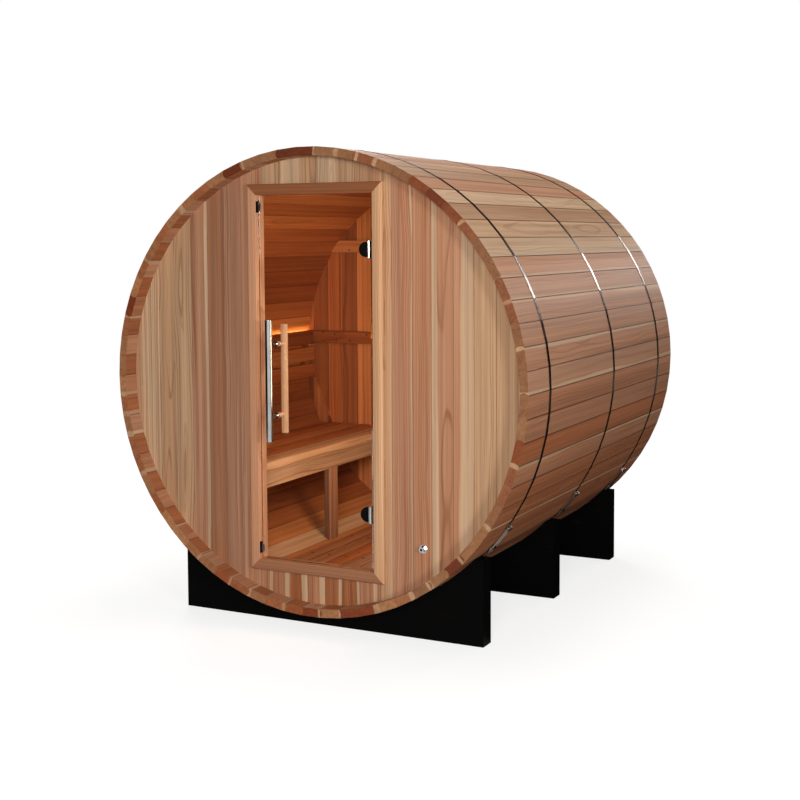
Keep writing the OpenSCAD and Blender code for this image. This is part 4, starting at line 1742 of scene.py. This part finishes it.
@dataclass
class Studio:
    """Pale floor, white surround, dark flags and soft lamps."""

    floor_half: float = 14.0
    floor_grey: Opaque = (0.3, 0.3, 0.3, 1.0)
    shadow_depth: float = 0.34
    floor_glow: float = 0.76
    flag_black: Opaque = (0.01, 0.01, 0.01, 1.0)
    fade_from: float = 2.6
    fade_to: float = 5.5
    zenith: float = 0.26
    horizon: float = 0.08
    flag_foot: float = -0.2
    flag_lift: float = 0.004
    upright: dict[str, tuple[Point, Point, float]] = field(default_factory=lambda: {
        "left": ((-1.6, -6.4), (-5.2, -2.2), 4.2), "far_left": ((-5.2, -2.2), (-5.2, 2.0), 4.2),
        "right": ((6.0, -1.5), (6.0, 5.5), 9.0), "back": ((6.0, 5.5), (-3.0, 9.5), 13.0)})
    flat: dict[str, tuple[Point, ...]] = field(default_factory=lambda: {
        "low_left": ((-0.95, -1.35), (-0.05, -1.35), (-2.0, -5.7), (-3.5, -5.7)),
        "low_right": ((0.3, -0.7), (6.0, -0.7), (6.0, 6.0), (0.3, 6.0))})

    def sheet(self, name: str, corners: Sequence[Place]) -> tuple[Piece, Wiring]:
        """Sets up a flat stage piece with an empty material.

        Args:
            name: Name of the piece.
            corners: Its corners in order.

        Returns:
            The piece and the wiring of its material.
        """
        mesh = bpy.data.meshes.new(name)
        mesh.from_pydata(corners, [], [tuple(range(len(corners)))])
        material = bpy.data.materials.new(name + "_paint")
        material.use_nodes = True
        material.node_tree.nodes.clear()
        mesh.materials.append(material)
        piece = bpy.data.objects.new(name, mesh)
        bpy.context.scene.collection.objects.link(piece)
        return piece, Wiring(material.node_tree)

    def seen(self, w: Wiring) -> Socket:
        """Whether a ray shows the surround itself, straight, in metal or in glass.

        Args:
            w: The wiring that the test is added to.

        Returns:
            1 for such a ray and 0 for any other.
        """
        path = w.node("ShaderNodeLightPath").outputs
        mirrored = w.math("MAXIMUM", path["Is Glossy Ray"], path["Is Transmission Ray"])
        return w.math("MAXIMUM", path["Is Camera Ray"], mirrored)

    def ground(self) -> None:
        """Lays the floor, white to the eye but for the shadow on it."""
        h = self.floor_half
        _, w = self.sheet("studio_floor", [(-h, -h, 0), (h, -h, 0), (h, h, 0), (-h, h, 0)])
        away = w.node("ShaderNodeVectorMath", {0: w.place()}, operation="LENGTH").outputs["Value"]
        grey = w.grey(w.span(away, self.fade_from, self.fade_to, self.shadow_depth, 0.0))
        plain = w.node("ShaderNodeBsdfDiffuse", {"Color": self.floor_grey})
        faint = w.node("ShaderNodeBsdfDiffuse", {"Color": grey})
        strength = w.span(away, self.fade_from, self.fade_to, self.floor_glow, 1.0)
        glow = w.node("ShaderNodeEmission", {"Color": WHITE, "Strength": strength})
        white = w.node("ShaderNodeAddShader", {0: faint.outputs[0], 1: glow.outputs[0]})
        shown = w.choose(self.seen(w), plain.outputs[0], white.outputs[0])
        w.node("ShaderNodeOutputMaterial", {"Surface": shown})

    def flags(self) -> None:
        """Stands dark panels round the set, which only gloss, metal and glass pick up."""
        panels = {side: [(*one, self.flag_foot), (*two, self.flag_foot), (*two, top), (*one, top)]
                  for side, (one, two, top) in self.upright.items()}
        panels |= {side: [(*corner, self.flag_lift) for corner in corners]
                   for side, corners in self.flat.items()}
        for side, corners in panels.items():
            panel, w = self.sheet("studio_flag_" + side, corners)
            dark = w.node("ShaderNodeBsdfDiffuse", {"Color": self.flag_black})
            w.node("ShaderNodeOutputMaterial", {"Surface": dark.outputs[0]})
            panel.visible_camera = panel.visible_diffuse = panel.visible_shadow = False
            panel.visible_transmission = side.endswith("left")

    def surround(self) -> None:
        """Sets up the world, white to the eye and a soft light from overhead."""
        world = bpy.data.worlds.new("studio_surround")
        world.use_nodes = True
        world.node_tree.nodes.clear()
        w = Wiring(world.node_tree)
        height = w.split(w.node("ShaderNodeTexCoord").outputs["Generated"])[2]
        strength = w.span(height, 0.0, 0.9, self.horizon, self.zenith)
        soft = w.node("ShaderNodeBackground", {"Color": WHITE, "Strength": strength})
        white = w.node("ShaderNodeBackground", {"Color": WHITE, "Strength": 1.0})
        shown = w.choose(self.seen(w), soft.outputs[0], white.outputs[0])
        w.node("ShaderNodeOutputWorld", {"Surface": shown})
        bpy.context.scene.world = world

    def build(self) -> None:
        """Sets up the floor, the flags, the surround, the lamps and the view settings."""
        self.ground()
        self.flags()
        self.surround()
        for lamp in LAMPS:
            lamp.hang()
        bpy.context.scene.view_settings.view_transform = "Standard"


def main() -> None:
    """Builds and dresses every piece in order."""
    logging.basicConfig(level=logging.INFO, format="%(message)s")
    Viewpoint().build()
    for assembly in (Staves(), front_wall(), rear_wall(), DoorFrame(), WoodenHandle(), Bench(), Backrest(),
                     RearBattens(), Floor()):
        assembly.build()
        LOG.info("%s: built", type(assembly).__name__)
    Fittings().dress()
    Studio().build()


if __name__ == "__main__":
    main()
